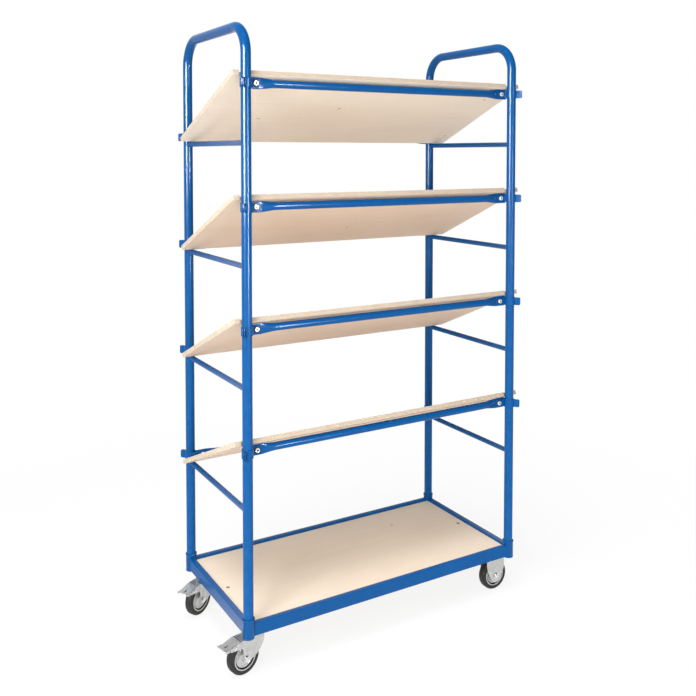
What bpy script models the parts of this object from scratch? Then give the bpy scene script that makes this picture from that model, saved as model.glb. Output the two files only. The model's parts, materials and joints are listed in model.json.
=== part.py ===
"""Sloped shelf cart: a wheeled tubular trolley with four tilted plywood shelves over a plywood deck.

Units are metres and +Z is up. The long side runs along X, the loading side faces -Y, and the
swivel castors with brakes are at the -X end. The origin is on the floor, at the middle of the
cart's overall box.
"""

import math

import bmesh
import bpy

# Clearances
GAP = 0.0003
NOTCH_CLEARANCE = 0.0025
DECK_CLEARANCE = 0.001
HUB_SIDE_CLEARANCE = 0.0015
SHELF_STOP_CLEARANCE = 0.0012
PEDAL_SIDE_CLEARANCE = 0.0005

# Main frame
POST_SPACING_X = 1.050
POST_SPACING_Y = 0.503
HANDLE_TOP = 2.034
POST_DIAMETER = 0.032
POST_WALL = 0.0015
HANDLE_BEND_RADIUS = 0.088

# Shelf levels, counted from the lowest
LEVELS = 4
LOWEST_RUNG = 0.526
LEVEL_PITCH = 0.378
RUNG_DIAMETER = 0.018
RUNG_WALL = 0.0015
FRONT_TUBE_RISE = 0.182
REAR_TUBE_RISE = 0.0245

# Cross tubes with flattened ends
TUBE_DIAMETER = 0.025
TUBE_WALL = 0.0015
FLAT_HEIGHT = 0.036
FLAT_THICKNESS = 0.0035
FLAT_SLIT = 0.001
FLAT_START = 0.012
FLAT_LENGTH = 0.050
FLARE_LENGTH = 0.030
BOLT_HOLE_DIAMETER = 0.009
BOLT_HOLE_PLACE = 0.038
VENT_HOLE_DIAMETER = 0.008
VENT_HOLE_SPACING = 0.023

# Strap clamps
CLAMP_HEIGHT = 0.028
CLAMP_STRAP = 0.0025
CLAMP_EAR_REACH = 0.052
CLAMP_NOSE_REACH = 0.038
CLAMP_NOSE_WIDTH = 0.007
CLAMP_NOSE_ANGLE = 40.0
CLAMP_BOLT_DIAMETER = 0.008
CLAMP_NUT_DIAMETER = 0.015
CLAMP_NUT_HEIGHT = 0.0065
CLAMP_BOLT_TIP = 0.003
CLAMP_HEAD_DIAMETER = 0.017
CLAMP_HEAD_HEIGHT = 0.004

# Plywood
SHELF_THICKNESS = 0.015
SHELF_END_OVERHANG = 0.040
SHELF_FRONT_REACH = 0.013
DECK_THICKNESS = 0.012
DECK_RECESS = 0.008

# Base frame
RAIL_HEIGHT = 0.040
RAIL_WIDTH = 0.020
RAIL_WALL = 0.002
LEDGE_WIDTH = 0.015
LEDGE_THICKNESS = 0.003
RAIL_VENT_DIAMETER = 0.008
SOCKET_WALL = 0.0025
SOCKET_HEIGHT = 0.062
SOCKET_LIP_HEIGHT = 0.006
SOCKET_LIP_WALL = 0.0012
PAD_THICKNESS = 0.004
PAD_MARGIN = 0.004
PAD_LIP = 0.0006

# Castors
CASTOR_INSET_X = 0.036
CASTOR_INSET_Y = 0.046
PLATE_LENGTH = 0.096
PLATE_WIDTH = 0.080
PLATE_THICKNESS = 0.003
PLATE_CORNER_RADIUS = 0.008
WHEEL_DIAMETER = 0.110
TYRE_WIDTH = 0.030
TYRE_SHOULDER = 0.005
RIM_DIAMETER = 0.078
RIM_WIDTH = 0.026
RIM_WALL = 0.004
WEB_THICKNESS = 0.006
HUB_DIAMETER = 0.026
AXLE_DIAMETER = 0.010
AXLE_HEAD_DIAMETER = 0.017
AXLE_HEAD_LENGTH = 0.005
FORK_THROAT = 0.040
FORK_WALL = 0.003
FORK_BOSS_RADIUS = 0.013
WHEEL_HEADROOM = 0.004

# Swivel fork and its brake
TRAIL = 0.040
BRACKET_SHOULDER_DROP = 0.045
BRACKET_BOSS_RADIUS = 0.025
RACE_HEIGHT = 0.0052
RACE_DIAMETER = 0.056
HEADSET_HEIGHT = 0.0045
HEADSET_DIAMETER = 0.050
FORK_FRONT_REACH = 0.027
FORK_SHOULDER_DROP = 0.020
FORK_TAIL_REACH = 0.094
FORK_TAIL_DEPTH = 0.024
FORK_TAIL_DROP = 0.010
FORK_TAIL_END = 0.010
FORK_NOTCH = 0.010
CROWN_TAIL_REACH = 0.050
PIVOT_BACK = 0.082
PIVOT_DROP = 0.013
PIVOT_DIAMETER = 0.006
KNUCKLE_RADIUS = 0.006
PEDAL_REACH = 0.124
PEDAL_TREAD_LENGTH = 0.028
PEDAL_WIDTH = 0.046
PEDAL_THICKNESS = 0.003
PEDAL_FRONT = 0.062
PEDAL_SINK = 0.001
PEDAL_SLOPE = 11.0
PEDAL_TIP_RISE = 0.005
SHOE_BACK = 0.005
SHOE_LENGTH = 0.008
SHOE_CLEARANCE = 0.012
FRONT_SWIVEL_ANGLE = 12.0
REAR_SWIVEL_ANGLE = 28.0

# Facets
POST_SIDES = 16
TUBE_SIDES = 12
BEND_STEPS = 5
WHEEL_SIDES = 20
SMALL_SIDES = 12
HOLE_SIDES = 6
CLAMP_FACETS = 12

# Places that follow from the sizes
POST_RADIUS = POST_DIAMETER / 2
TUBE_RADIUS = TUBE_DIAMETER / 2
RUNG_RADIUS = RUNG_DIAMETER / 2
WHEEL_RADIUS = WHEEL_DIAMETER / 2
HALF_X = POST_SPACING_X / 2
HALF_Y = POST_SPACING_Y / 2
TUBE_SETBACK = POST_RADIUS + GAP + FLAT_THICKNESS / 2
SOCKET_RADIUS = POST_RADIUS + GAP + SOCKET_WALL
CROWN_TOP = WHEEL_DIAMETER + WHEEL_HEADROOM + FORK_WALL
RACE_BOTTOM = CROWN_TOP + HEADSET_HEIGHT + GAP
PLATE_BOTTOM = RACE_BOTTOM + RACE_HEIGHT
CASTOR_HEIGHT = PLATE_BOTTOM + PLATE_THICKNESS
PAD_BOTTOM = CASTOR_HEIGHT + GAP
PAD_TOP = PAD_BOTTOM + PAD_THICKNESS
RAIL_BOTTOM = PAD_TOP + GAP
RAIL_TOP = RAIL_BOTTOM + RAIL_HEIGHT
DECK_TOP = RAIL_TOP - DECK_RECESS
DECK_BOTTOM = DECK_TOP - DECK_THICKNESS
PIVOT_HEIGHT = CROWN_TOP - PIVOT_DROP
FORK_HALF_WIDTH = FORK_THROAT / 2 + FORK_WALL


def polygon_radius(inscribed, sides):
    """Corner radius of a regular polygon whose flats lie on a circle of the given radius."""
    return inscribed / math.cos(math.pi / sides)


def arc(centre, radius, start, end, steps):
    """Points on an arc in the plane, from one angle in degrees to another."""
    angles = (math.radians(start + (end - start) * i / steps) for i in range(steps + 1))
    return [(centre[0] + radius * math.cos(a), centre[1] + radius * math.sin(a)) for a in angles]


def swept_edge(start, pull, end, steps):
    """Points on an edge that leaves its start, bends towards a pull point and reaches its end."""
    points = []
    for i in range(steps + 1):
        t = i / steps
        shares = ((1 - t) ** 2, 2 * t * (1 - t), t * t)
        corners = tuple(zip(start, pull, end))
        points.append(tuple(sum(s * c for s, c in zip(shares, row)) for row in corners))
    return points


def circle(centre, radius, sides):
    """Corners of a regular polygon in the plane."""
    return arc(centre, radius, 0.0, 360.0, sides)[:-1]


def rectangle(low, high):
    """Corners of a rectangle in the plane."""
    return [(low[0], low[1]), (high[0], low[1]), (high[0], high[1]), (low[0], high[1])]


def rounded_rectangle(length, width, radius, steps=3):
    """Outline of a plate with round corners, centred on the origin."""
    outline = []
    for i, (sx, sy) in enumerate(((1, 1), (-1, 1), (-1, -1), (1, -1))):
        centre = (sx * (length / 2 - radius), sy * (width / 2 - radius))
        outline += arc(centre, radius, 90.0 * i, 90.0 * (i + 1), steps)
    return outline


def extruded(outline, place):
    """Closed shape between two ends. place(u, v, end) puts a point of the outline at end 0 or 1."""
    bm = bmesh.new()
    first, second = [[bm.verts.new(place(u, v, end)) for u, v in outline] for end in (0, 1)]
    bm.faces.new(first)
    bm.faces.new(second)
    for i in range(len(first)):
        j = (i + 1) % len(first)
        bm.faces.new((first[i], first[j], second[j], second[i]))
    bmesh.ops.recalc_face_normals(bm, faces=bm.faces)
    return bm


def upright(outline, bottom, top):
    """Extrusion of a plan outline between two heights."""
    return extruded(outline, lambda u, v, end: (u, v, top if end else bottom))


def crosswise(outline, low, high):
    """Extrusion of a side outline, given as X and Z, between two places along Y."""
    return extruded(outline, lambda u, v, end: (u, high if end else low, v))


def revolved(profile, sides, axis, turn=0.0):
    """Ring turned from a closed profile of (radius, place along the axis)."""
    bm = bmesh.new()
    rings = []
    for i in range(sides):
        angle = 2 * math.pi * (i + turn) / sides
        across, along = math.cos(angle), math.sin(angle)
        if axis == "Z":
            ring = [(r * across, r * along, h) for r, h in profile]
        else:
            ring = [(r * across, h, r * along) for r, h in profile]
        rings.append([bm.verts.new(point) for point in ring])
    for i in range(sides):
        first, second = rings[i], rings[(i + 1) % sides]
        for k in range(len(profile)):
            m = (k + 1) % len(profile)
            bm.faces.new((first[k], first[m], second[m], second[k]))
    bmesh.ops.recalc_face_normals(bm, faces=bm.faces)
    return bm


def lofted(rings, closed_ends=True):
    """Skin through rings of points. Without ends the last ring joins the first."""
    bm = bmesh.new()
    skins = [[bm.verts.new(point) for point in ring] for ring in rings]
    spans = list(zip(skins, skins[1:]))
    if closed_ends:
        bm.faces.new(skins[0])
        bm.faces.new(skins[-1])
    else:
        spans.append((skins[-1], skins[0]))
    for first, second in spans:
        for i in range(len(first)):
            j = (i + 1) % len(first)
            bm.faces.new((first[i], first[j], second[j], second[i]))
    bmesh.ops.recalc_face_normals(bm, faces=bm.faces)
    return bm


def moved(bm, x=0.0, y=0.0, z=0.0):
    """The same shape, moved."""
    bmesh.ops.translate(bm, verts=bm.verts, vec=(x, y, z))
    return bm


def rod_along_y(centre, radius, low, high, sides=SMALL_SIDES):
    """Round bar along Y, given its centre as X and Z."""
    return crosswise(circle(centre, radius, sides), low, high)


def mesh_of(bm, name):
    """Mesh data made from a shape."""
    mesh = bpy.data.meshes.new(name)
    bm.to_mesh(mesh)
    bm.free()
    return mesh


def helper_object(bm, name):
    """Object that only serves to join or cut, never shown."""
    helper = bpy.data.objects.new(name, mesh_of(bm, name))
    bpy.context.scene.collection.objects.link(helper)
    helper.hide_render = True
    helper.display_type = "WIRE"
    return helper


def worked(bm, name, joins=(), cuts=()):
    """Mesh of a shape after joining the shapes that are welded on and cutting its openings."""
    base = helper_object(bm, name)
    helpers = [base]
    for operation, others in (("UNION", joins), ("DIFFERENCE", cuts)):
        for other in others:
            helper = helper_object(other, f"{name}_tool")
            helpers.append(helper)
            modifier = base.modifiers.new(operation.title(), "BOOLEAN")
            modifier.operation = operation
            modifier.solver = "EXACT"
            modifier.object = helper
    graph = bpy.context.evaluated_depsgraph_get()
    mesh = bpy.data.meshes.new_from_object(base.evaluated_get(graph))
    mesh.name = name
    for helper in helpers:
        bpy.data.objects.remove(helper)
    return mesh


def material(name, colour, roughness, metallic):
    """Principled finish."""
    made = bpy.data.materials.new(name)
    made.use_nodes = True
    shader = made.node_tree.nodes["Principled BSDF"]
    shader.inputs["Base Color"].default_value = (*colour, 1.0)
    shader.inputs["Roughness"].default_value = roughness
    shader.inputs["Metallic"].default_value = metallic
    return made


def empty(name, parent=None, location=(0.0, 0.0, 0.0), turn=0.0):
    """Marker that carries other objects."""
    made = bpy.data.objects.new(name, None)
    bpy.context.scene.collection.objects.link(made)
    made.parent = parent
    made.location = location
    made.rotation_euler = (0.0, 0.0, math.radians(turn))
    return made


def add(name, mesh, finish, parent, location=(0.0, 0.0, 0.0), scale=(1.0, 1.0, 1.0)):
    """One named piece with its own finish."""
    piece = bpy.data.objects.new(name, mesh)
    bpy.context.scene.collection.objects.link(piece)
    if not mesh.materials:
        mesh.materials.append(finish)
    mesh.shade_smooth()
    mesh.set_sharp_from_angle(angle=math.radians(32.0))
    piece.parent = parent
    piece.location = location
    piece.scale = scale
    return piece


def handle_frame_mesh():
    """One bent tube: two posts and the push handle over them, open at both feet."""
    foot = PAD_TOP + GAP
    axis_top = HANDLE_TOP - POST_RADIUS
    bend_centre_y = HALF_Y - HANDLE_BEND_RADIUS
    bend_centre_z = axis_top - HANDLE_BEND_RADIUS
    path = [((-HALF_Y, foot), 180.0)]
    for sign, start in ((-1, 180.0), (1, 90.0)):
        for i in range(BEND_STEPS + 1):
            angle = start - 90.0 * i / BEND_STEPS
            turned = arc((sign * bend_centre_y, bend_centre_z), HANDLE_BEND_RADIUS, angle, angle, 1)
            path.append((turned[0], angle))
    path.append(((HALF_Y, foot), 0.0))

    def ring(place, angle, radius):
        out_y, out_z = math.cos(math.radians(angle)), math.sin(math.radians(angle))
        points = circle((0.0, 0.0), radius, POST_SIDES)
        return [(u, place[0] + v * out_y, place[1] + v * out_z) for u, v in points]

    outside = [ring(place, angle, POST_RADIUS) for place, angle in path]
    inside = [ring(place, angle, POST_RADIUS - POST_WALL) for place, angle in reversed(path)]
    return mesh_of(lofted(outside + inside, closed_ends=False), "handle_frame")


def rung_mesh():
    """Round rung whose ends are coped to fit the posts."""

    def ring(radius, sign):
        points = []
        for u, v in circle((0.0, 0.0), radius, TUBE_SIDES):
            reach = HALF_Y - math.sqrt((POST_RADIUS + GAP) ** 2 - u**2)
            points.append((u, sign * reach, v))
        return points

    inner = RUNG_RADIUS - RUNG_WALL
    rings = [ring(RUNG_RADIUS, -1), ring(RUNG_RADIUS, 1), ring(inner, 1), ring(inner, -1)]
    return mesh_of(lofted(rings, closed_ends=False), "rung")


def cross_tube_mesh():
    """Cross tube with crushed flat ends, a bolt hole and a vent hole in each."""

    def section(round_share, flat_half, wall):
        points = []
        for u, v in circle((0.0, 0.0), 1.0, TUBE_SIDES):
            flat_y = flat_half * (0.0 if abs(u) < 0.01 else math.copysign(1.0, u))
            flat_z = (FLAT_HEIGHT / 2 - wall) * v
            round_y, round_z = (TUBE_RADIUS - wall) * u, (TUBE_RADIUS - wall) * v
            y = flat_y + (round_y - flat_y) * round_share
            z = flat_z + (round_z - flat_z) * round_share
            points.append((y, z))
        return points

    def skin(stations, flat_half, wall):
        rings = []
        for side, row in ((-1, stations), (1, reversed(stations))):
            for reach, share in row:
                section_points = section(share, flat_half, wall)
                rings.append([(side * reach, y, z) for y, z in section_points])
        return lofted(rings)

    flat_end = HALF_X - FLAT_START - FLAT_LENGTH
    round_start = flat_end - FLARE_LENGTH
    stations = [(HALF_X - FLAT_START, 0.0), (flat_end, 0.0), (round_start, 1.0)]
    vent_place = HALF_X - BOLT_HOLE_PLACE - VENT_HOLE_SPACING
    bore_stations = [(vent_place, 0.0), (round_start - TUBE_WALL, 1.0)]
    holes = []
    for side in (-1, 1):
        bolt, vent = (side * (HALF_X - BOLT_HOLE_PLACE), 0.0), (side * vent_place, 0.0)
        for place, diameter in ((bolt, BOLT_HOLE_DIAMETER), (vent, VENT_HOLE_DIAMETER)):
            holes.append(rod_along_y(place, diameter / 2, -TUBE_RADIUS, TUBE_RADIUS, HOLE_SIDES))
    bore = skin(bore_stations, FLAT_SLIT / 2, TUBE_WALL)
    return worked(skin(stations, FLAT_THICKNESS / 2, 0.0), "cross_tube", cuts=[bore, *holes])


def clamp_mesh():
    """Strap bent round a post, pinched to a nose outside and to two bolted ears inside.

    The outline is for the front left post: X points inboard and Y into the cart.
    """
    inner = polygon_radius(POST_RADIUS + GAP, CLAMP_FACETS)
    outer = inner + CLAMP_STRAP
    ear_half = FLAT_THICKNESS / 2 + GAP
    near_inside = TUBE_SETBACK - ear_half
    near_outside = near_inside - CLAMP_STRAP
    far_inside = TUBE_SETBACK + ear_half
    far_outside = far_inside + CLAMP_STRAP
    nose = 180.0 + (90.0 - CLAMP_NOSE_ANGLE)
    half_nose = math.degrees(math.asin(CLAMP_NOSE_WIDTH / 2 / outer))
    along = (math.cos(math.radians(nose)), math.sin(math.radians(nose)))
    across = (-along[1], along[0])
    reach, half_width = CLAMP_NOSE_REACH, CLAMP_NOSE_WIDTH / 2
    tip = [
        (along[0] * reach + across[0] * side, along[1] * reach + across[1] * side)
        for side in (-half_width, half_width)
    ]
    far_bend = 110.0
    near_angle = math.degrees(math.asin(near_outside / outer))
    slot_angle = math.degrees(math.acos(min(1.0, near_inside / inner)))
    outline = [(CLAMP_EAR_REACH, near_inside), (CLAMP_EAR_REACH, near_outside)]
    outline += arc((0.0, 0.0), outer, near_angle, nose + half_nose - 360.0, 5)
    outline += [tip[1], tip[0]]
    outline += arc((0.0, 0.0), outer, nose - half_nose - 360.0, far_bend - 360.0, 4)
    outline += [(0.0, far_outside), (CLAMP_EAR_REACH, far_outside)]
    outline += [(CLAMP_EAR_REACH, far_inside), (0.0, far_inside)]
    outline += arc((0.0, 0.0), inner, far_bend, 450.0 - slot_angle, 11)
    strap = upright(outline, -CLAMP_HEIGHT / 2, CLAMP_HEIGHT / 2)
    place = (BOLT_HOLE_PLACE, 0.0)
    nut_end = near_outside - CLAMP_NUT_HEIGHT
    tip_end, head_end = nut_end - CLAMP_BOLT_TIP, far_outside + CLAMP_HEAD_HEIGHT
    sink = CLAMP_STRAP / 2
    joins = [
        rod_along_y(place, CLAMP_NUT_DIAMETER / 2, nut_end, near_outside + sink, 6),
        rod_along_y(place, CLAMP_HEAD_DIAMETER / 2, far_outside - sink, head_end, HOLE_SIDES),
        rod_along_y(place, CLAMP_BOLT_DIAMETER / 2, tip_end, far_outside - sink / 2, HOLE_SIDES),
    ]
    return worked(strap, "clamp", joins=joins)


def shelf_slope():
    """Slope of a shelf and the place along Y of its lower rear edge.

    The board lies on the flattened ends of its front tube and on the rungs, and its rear edge
    stops at the rear tube.
    """
    front_y = -HALF_Y + TUBE_SETBACK + FLAT_THICKNESS / 2
    rise = FRONT_TUBE_RISE + FLAT_HEIGHT / 2 - RUNG_RADIUS
    stop_y = HALF_Y - TUBE_SETBACK - TUBE_RADIUS - SHELF_STOP_CLEARANCE
    slope = 0.0
    for _ in range(20):
        rear_y = stop_y - SHELF_THICKNESS * math.sin(slope)
        slope = math.atan2(rise, rear_y - front_y)
    return slope, rear_y


def shelf_mesh(slope, rear_y):
    """Plywood board with a notch for each front post, in place above a rung at height zero."""
    front_y = -HALF_Y + TUBE_SETBACK - SHELF_FRONT_REACH
    length = (rear_y - front_y) / math.cos(slope)
    half_length = HALF_X + SHELF_END_OVERHANG
    half_notch = POST_RADIUS + NOTCH_CLEARANCE
    notch_y = -HALF_Y + POST_RADIUS + NOTCH_CLEARANCE
    notch_depth = length - (notch_y - front_y) / math.cos(slope)
    outline = [(half_length, 0.0), (half_length, length)]
    for side in (1, -1):
        near, far = side * HALF_X + half_notch, side * HALF_X - half_notch
        outline += [(near, length), (near, notch_depth), (far, notch_depth), (far, length)]
    outline += [(-half_length, length), (-half_length, 0.0)]
    run, rise = math.cos(slope), math.sin(slope)

    def place(u, v, end):
        lift = SHELF_THICKNESS if end else 0.0
        height = RUNG_RADIUS + GAP + v * rise + lift * run
        return (u, rear_y - v * run + lift * rise, height)

    return mesh_of(extruded(outline, place), "shelf_board")


def coped_end(offset, half_span, radius):
    """How far a rail reaches, at an offset from its middle line, to meet a round socket."""
    return half_span - math.sqrt(radius**2 - offset**2)


def rail_shape(half_span, radius, place):
    """Hollow rail whose ends are coped to round sockets. place(along, offset, height) sets a point."""
    half, inner = RAIL_WIDTH / 2, RAIL_WIDTH / 2 - RAIL_WALL
    shares = [i / 2.5 - 1 for i in range(6)]
    outline = [(half * s, 0.0) for s in shares] + [(half * s, RAIL_HEIGHT) for s in reversed(shares)]
    bore = [(inner * s, RAIL_WALL) for s in shares]
    bore += [(inner * s, RAIL_HEIGHT - RAIL_WALL) for s in reversed(shares)]

    def ring(loop, end):
        return [place(end * coped_end(u, half_span, radius), u, v) for u, v in loop]

    rings = [ring(outline, -1), ring(outline, 1), ring(bore, 1), ring(bore, -1)]
    return lofted(rings, closed_ends=False)


def side_rail_mesh(inward):
    """Long base rail with the ledge that carries the deck. inward is 1 or -1 along Y."""
    rail = rail_shape(HALF_X, SOCKET_RADIUS + 2 * GAP, lambda along, u, v: (along, u, v))
    root, edge = RAIL_WIDTH / 2 - RAIL_WALL / 2, RAIL_WIDTH / 2 + LEDGE_WIDTH
    ledge_end = HALF_X - SOCKET_RADIUS - LEDGE_WIDTH
    ledge_top = DECK_BOTTOM - GAP - RAIL_BOTTOM
    ledge = rectangle((-ledge_end, root), (ledge_end, edge))
    ledge = [(u, inward * v) for u, v in ledge]
    ledge_shape = upright(ledge, ledge_top - LEDGE_THICKNESS, ledge_top)
    return worked(rail, "side_rail", joins=[ledge_shape])


def socket_shape():
    """Corner socket: a short sleeve with a lip round its mouth."""
    bore = polygon_radius(POST_RADIUS + GAP, POST_SIDES)
    outer = SOCKET_RADIUS
    top = PAD_BOTTOM + SOCKET_HEIGHT
    lip_bottom = top - SOCKET_LIP_HEIGHT
    profile = [(bore, PAD_BOTTOM + PAD_THICKNESS / 2), (outer, PAD_BOTTOM + PAD_THICKNESS / 2)]
    profile += [(outer, lip_bottom), (outer + SOCKET_LIP_WALL, lip_bottom + SOCKET_LIP_WALL)]
    profile += [(outer + SOCKET_LIP_WALL, top), (bore, top)]
    return revolved(profile, POST_SIDES, "Z")


def pad_shape(side):
    """Corner plate under the rails that takes a castor and closes the foot of a socket."""
    corner = -RAIL_WIDTH / 2
    far_x = CASTOR_INSET_X + PLATE_LENGTH / 2 + PAD_MARGIN
    far_y = CASTOR_INSET_Y + PLATE_WIDTH / 2 + PAD_MARGIN
    chamfer = far_y / 4
    sleeve = SOCKET_RADIUS + PAD_LIP
    meet = math.degrees(math.asin(RAIL_WIDTH / 2 / sleeve))
    outline = arc((0.0, 0.0), sleeve, 90.0 + meet, 360.0 - meet, 9)
    outline += [(far_x, corner), (far_x, far_y - chamfer)]
    outline += [(far_x - chamfer, far_y), (corner, far_y)]
    return upright([(side * u, v) for u, v in outline], PAD_BOTTOM, PAD_TOP)


def end_rail_mesh(side):
    """Short base rail welded to two corner sockets and their castor pads."""
    weld = SOCKET_RADIUS - SOCKET_WALL / 2
    rail = rail_shape(HALF_Y, weld, lambda along, u, v: (u, along, RAIL_BOTTOM + v))
    joins = []
    for end in (-1, 1):
        joins.append(moved(socket_shape(), y=end * HALF_Y))
        pad = pad_shape(-side)
        bmesh.ops.scale(pad, verts=pad.verts, vec=(1.0, -end, 1.0))
        bmesh.ops.recalc_face_normals(pad, faces=pad.faces)
        joins.append(moved(pad, y=end * HALF_Y))
    vent = circle((0.0, 0.0), RAIL_VENT_DIAMETER / 2, SMALL_SIDES)
    vent_cut = upright(vent, RAIL_BOTTOM - RAIL_WALL, RAIL_BOTTOM + 2 * RAIL_WALL)
    return worked(rail, "end_rail", joins=joins, cuts=[vent_cut])


def deck_mesh():
    """Plywood deck that lies between the base rails."""
    margin = RAIL_WIDTH / 2 + DECK_CLEARANCE
    half_x, half_y = HALF_X - margin, HALF_Y - margin
    chamfer = max(0.001, math.sqrt(2.0) * (SOCKET_RADIUS + DECK_CLEARANCE) - 2 * margin)
    outline = []
    for sx, sy in ((1, 1), (-1, 1), (-1, -1), (1, -1)):
        corner = [(sx * half_x, sy * (half_y - chamfer)), (sx * (half_x - chamfer), sy * half_y)]
        outline += corner if sx * sy > 0 else corner[::-1]
    return mesh_of(upright(outline, DECK_BOTTOM, DECK_TOP), "deck_board")


def tyre_mesh():
    """Solid rubber tyre with round shoulders, its flats on the rolling radius."""
    half, shoulder = TYRE_WIDTH / 2, TYRE_SHOULDER
    tread = polygon_radius(WHEEL_RADIUS, WHEEL_SIDES)
    seat = RIM_DIAMETER / 2 + GAP
    profile = [(seat, -half + shoulder / 2), (tread - 1.6 * shoulder, -half)]
    profile += [(tread - shoulder / 3, -half + shoulder / 2), (tread, -half + shoulder * 1.5)]
    profile += [(r, -h) for r, h in reversed(profile)]
    return mesh_of(revolved(profile, WHEEL_SIDES, "Y", 0.5), "tyre")


def hub_mesh():
    """Steel wheel centre: bearing boss, web and rim."""
    bore = polygon_radius(AXLE_DIAMETER / 2 + GAP, WHEEL_SIDES)
    boss, rim = HUB_DIAMETER / 2, RIM_DIAMETER / 2
    boss_half = FORK_THROAT / 2 - HUB_SIDE_CLEARANCE
    profile = [(bore, -boss_half), (boss, -boss_half), (boss, -WEB_THICKNESS / 2)]
    profile += [(rim - RIM_WALL, -WEB_THICKNESS / 2), (rim - RIM_WALL, -RIM_WIDTH / 2)]
    profile += [(rim, -RIM_WIDTH / 2)]
    profile += [(r, -h) for r, h in reversed(profile)]
    return mesh_of(revolved(profile, WHEEL_SIDES, "Y", 0.5), "hub")


def axle_shapes(x):
    """Axle bolt across a fork, with its head and nut."""
    place = (x, WHEEL_RADIUS)
    half = FORK_HALF_WIDTH
    shapes = [rod_along_y(place, AXLE_DIAMETER / 2, -half - GAP, half + GAP)]
    for side in (-1, 1):
        ends = sorted((side * (half - FORK_WALL / 2), side * (half + AXLE_HEAD_LENGTH)))
        shapes.append(rod_along_y(place, AXLE_HEAD_DIAMETER / 2, *ends, sides=6))
    return shapes


def swivel_plate_mesh():
    """Top plate of a swivel castor with its upper ball race."""
    plate = rounded_rectangle(PLATE_LENGTH, PLATE_WIDTH, PLATE_CORNER_RADIUS)
    race = circle((0.0, 0.0), RACE_DIAMETER / 2, WHEEL_SIDES)
    race_shape = upright(race, RACE_BOTTOM, PLATE_BOTTOM + PLATE_THICKNESS / 2)
    return worked(upright(plate, PLATE_BOTTOM, CASTOR_HEIGHT), "swivel_plate", joins=[race_shape])


def swivel_fork_mesh():
    """Fork of a swivel castor: two cheeks, crown, lower race, axle bolt and brake pivot pin."""
    axle = (-TRAIL, WHEEL_RADIUS)
    tail_bottom = CROWN_TOP - FORK_TAIL_DEPTH
    boss = arc(axle, FORK_BOSS_RADIUS, -55.0, -190.0, 6)
    shoulder = (FORK_FRONT_REACH, CROWN_TOP - FORK_SHOULDER_DROP)
    pull = (FORK_FRONT_REACH / 2, WHEEL_RADIUS)
    cheek = [(FORK_FRONT_REACH, CROWN_TOP), *swept_edge(shoulder, pull, boss[0], 5), *boss[1:]]
    back, tail_top = -TRAIL - FORK_BOSS_RADIUS, CROWN_TOP - FORK_TAIL_DROP
    notch_low, notch_high = (back, tail_bottom - FORK_NOTCH), (back - FORK_NOTCH, tail_bottom)
    cheek += swept_edge(notch_low, (back, tail_bottom), notch_high, 3)
    cheek += [(-FORK_TAIL_REACH, tail_top - FORK_TAIL_END), (-FORK_TAIL_REACH, tail_top)]
    cheek += [(-CROWN_TAIL_REACH, CROWN_TOP)]
    half, throat = FORK_HALF_WIDTH, FORK_THROAT / 2
    crown = rectangle((-CROWN_TAIL_REACH, -half), (FORK_FRONT_REACH, half))
    headset = circle((0.0, 0.0), HEADSET_DIAMETER / 2, WHEEL_SIDES)
    joins = [
        crosswise(cheek, throat, half),
        upright(crown, CROWN_TOP - FORK_WALL, CROWN_TOP),
        upright(headset, CROWN_TOP - FORK_WALL / 2, CROWN_TOP + HEADSET_HEIGHT),
        rod_along_y((-PIVOT_BACK, PIVOT_HEIGHT), PIVOT_DIAMETER / 2, -throat - GAP, throat + GAP),
        *axle_shapes(-TRAIL),
    ]
    return worked(crosswise(cheek, -half, -throat), "swivel_fork", joins=joins)


def pedal_mesh():
    """Brake pedal about its own pivot: knuckle, shoe over the tyre and foot tread."""
    half_body = FORK_THROAT / 2 - PEDAL_SIDE_CLEARANCE
    front = PIVOT_BACK - PEDAL_FRONT
    shoe_x = -SHOE_BACK - SHOE_LENGTH / 2
    wheel = (PIVOT_BACK - TRAIL, WHEEL_RADIUS - PIVOT_HEIGHT)
    shoe_reach = WHEEL_RADIUS + SHOE_CLEARANCE

    def over_tyre(x):
        return wheel[1] + math.sqrt(shoe_reach**2 - (x - wheel[0]) ** 2)

    def on_sheet(x, rise):
        fall = (front - x) * math.tan(math.radians(PEDAL_SLOPE))
        return x, PIVOT_DROP - PEDAL_SINK - fall + rise

    shoe = [-SHOE_BACK, shoe_x, -SHOE_BACK - SHOE_LENGTH]
    tread_start = PIVOT_BACK - PEDAL_REACH + PEDAL_TREAD_LENGTH
    tread_root, under = tread_start - PEDAL_THICKNESS, -PEDAL_THICKNESS
    body = [on_sheet(front, 0.0), on_sheet(tread_root, 0.0)]
    body += [on_sheet(tread_root, under), on_sheet(shoe[2], under)]
    body += [(x, over_tyre(x)) for x in reversed(shoe)]
    body += arc((0.0, 0.0), KNUCKLE_RADIUS, 240.0, 360.0, 5)
    body += [on_sheet(front, under)]
    bore_radius = polygon_radius(PIVOT_DIAMETER / 2 + GAP, SMALL_SIDES)
    bore = rod_along_y((0.0, 0.0), bore_radius, -FORK_THROAT / 2, FORK_THROAT / 2)
    tip = PIVOT_BACK - PEDAL_REACH
    bend = tip + PEDAL_TREAD_LENGTH / 3
    edge = GAP
    tread = [on_sheet(tread_start, edge), on_sheet(bend, edge), on_sheet(tip, PEDAL_TIP_RISE)]
    tread += [on_sheet(tip, under + PEDAL_TIP_RISE), on_sheet(bend, under - edge)]
    tread += [on_sheet(tread_start, under - edge)]
    tread_shape = crosswise(tread, -PEDAL_WIDTH / 2, PEDAL_WIDTH / 2)
    body_shape = crosswise(body, -half_body, half_body)
    return worked(body_shape, "pedal", joins=[tread_shape], cuts=[bore])


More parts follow.
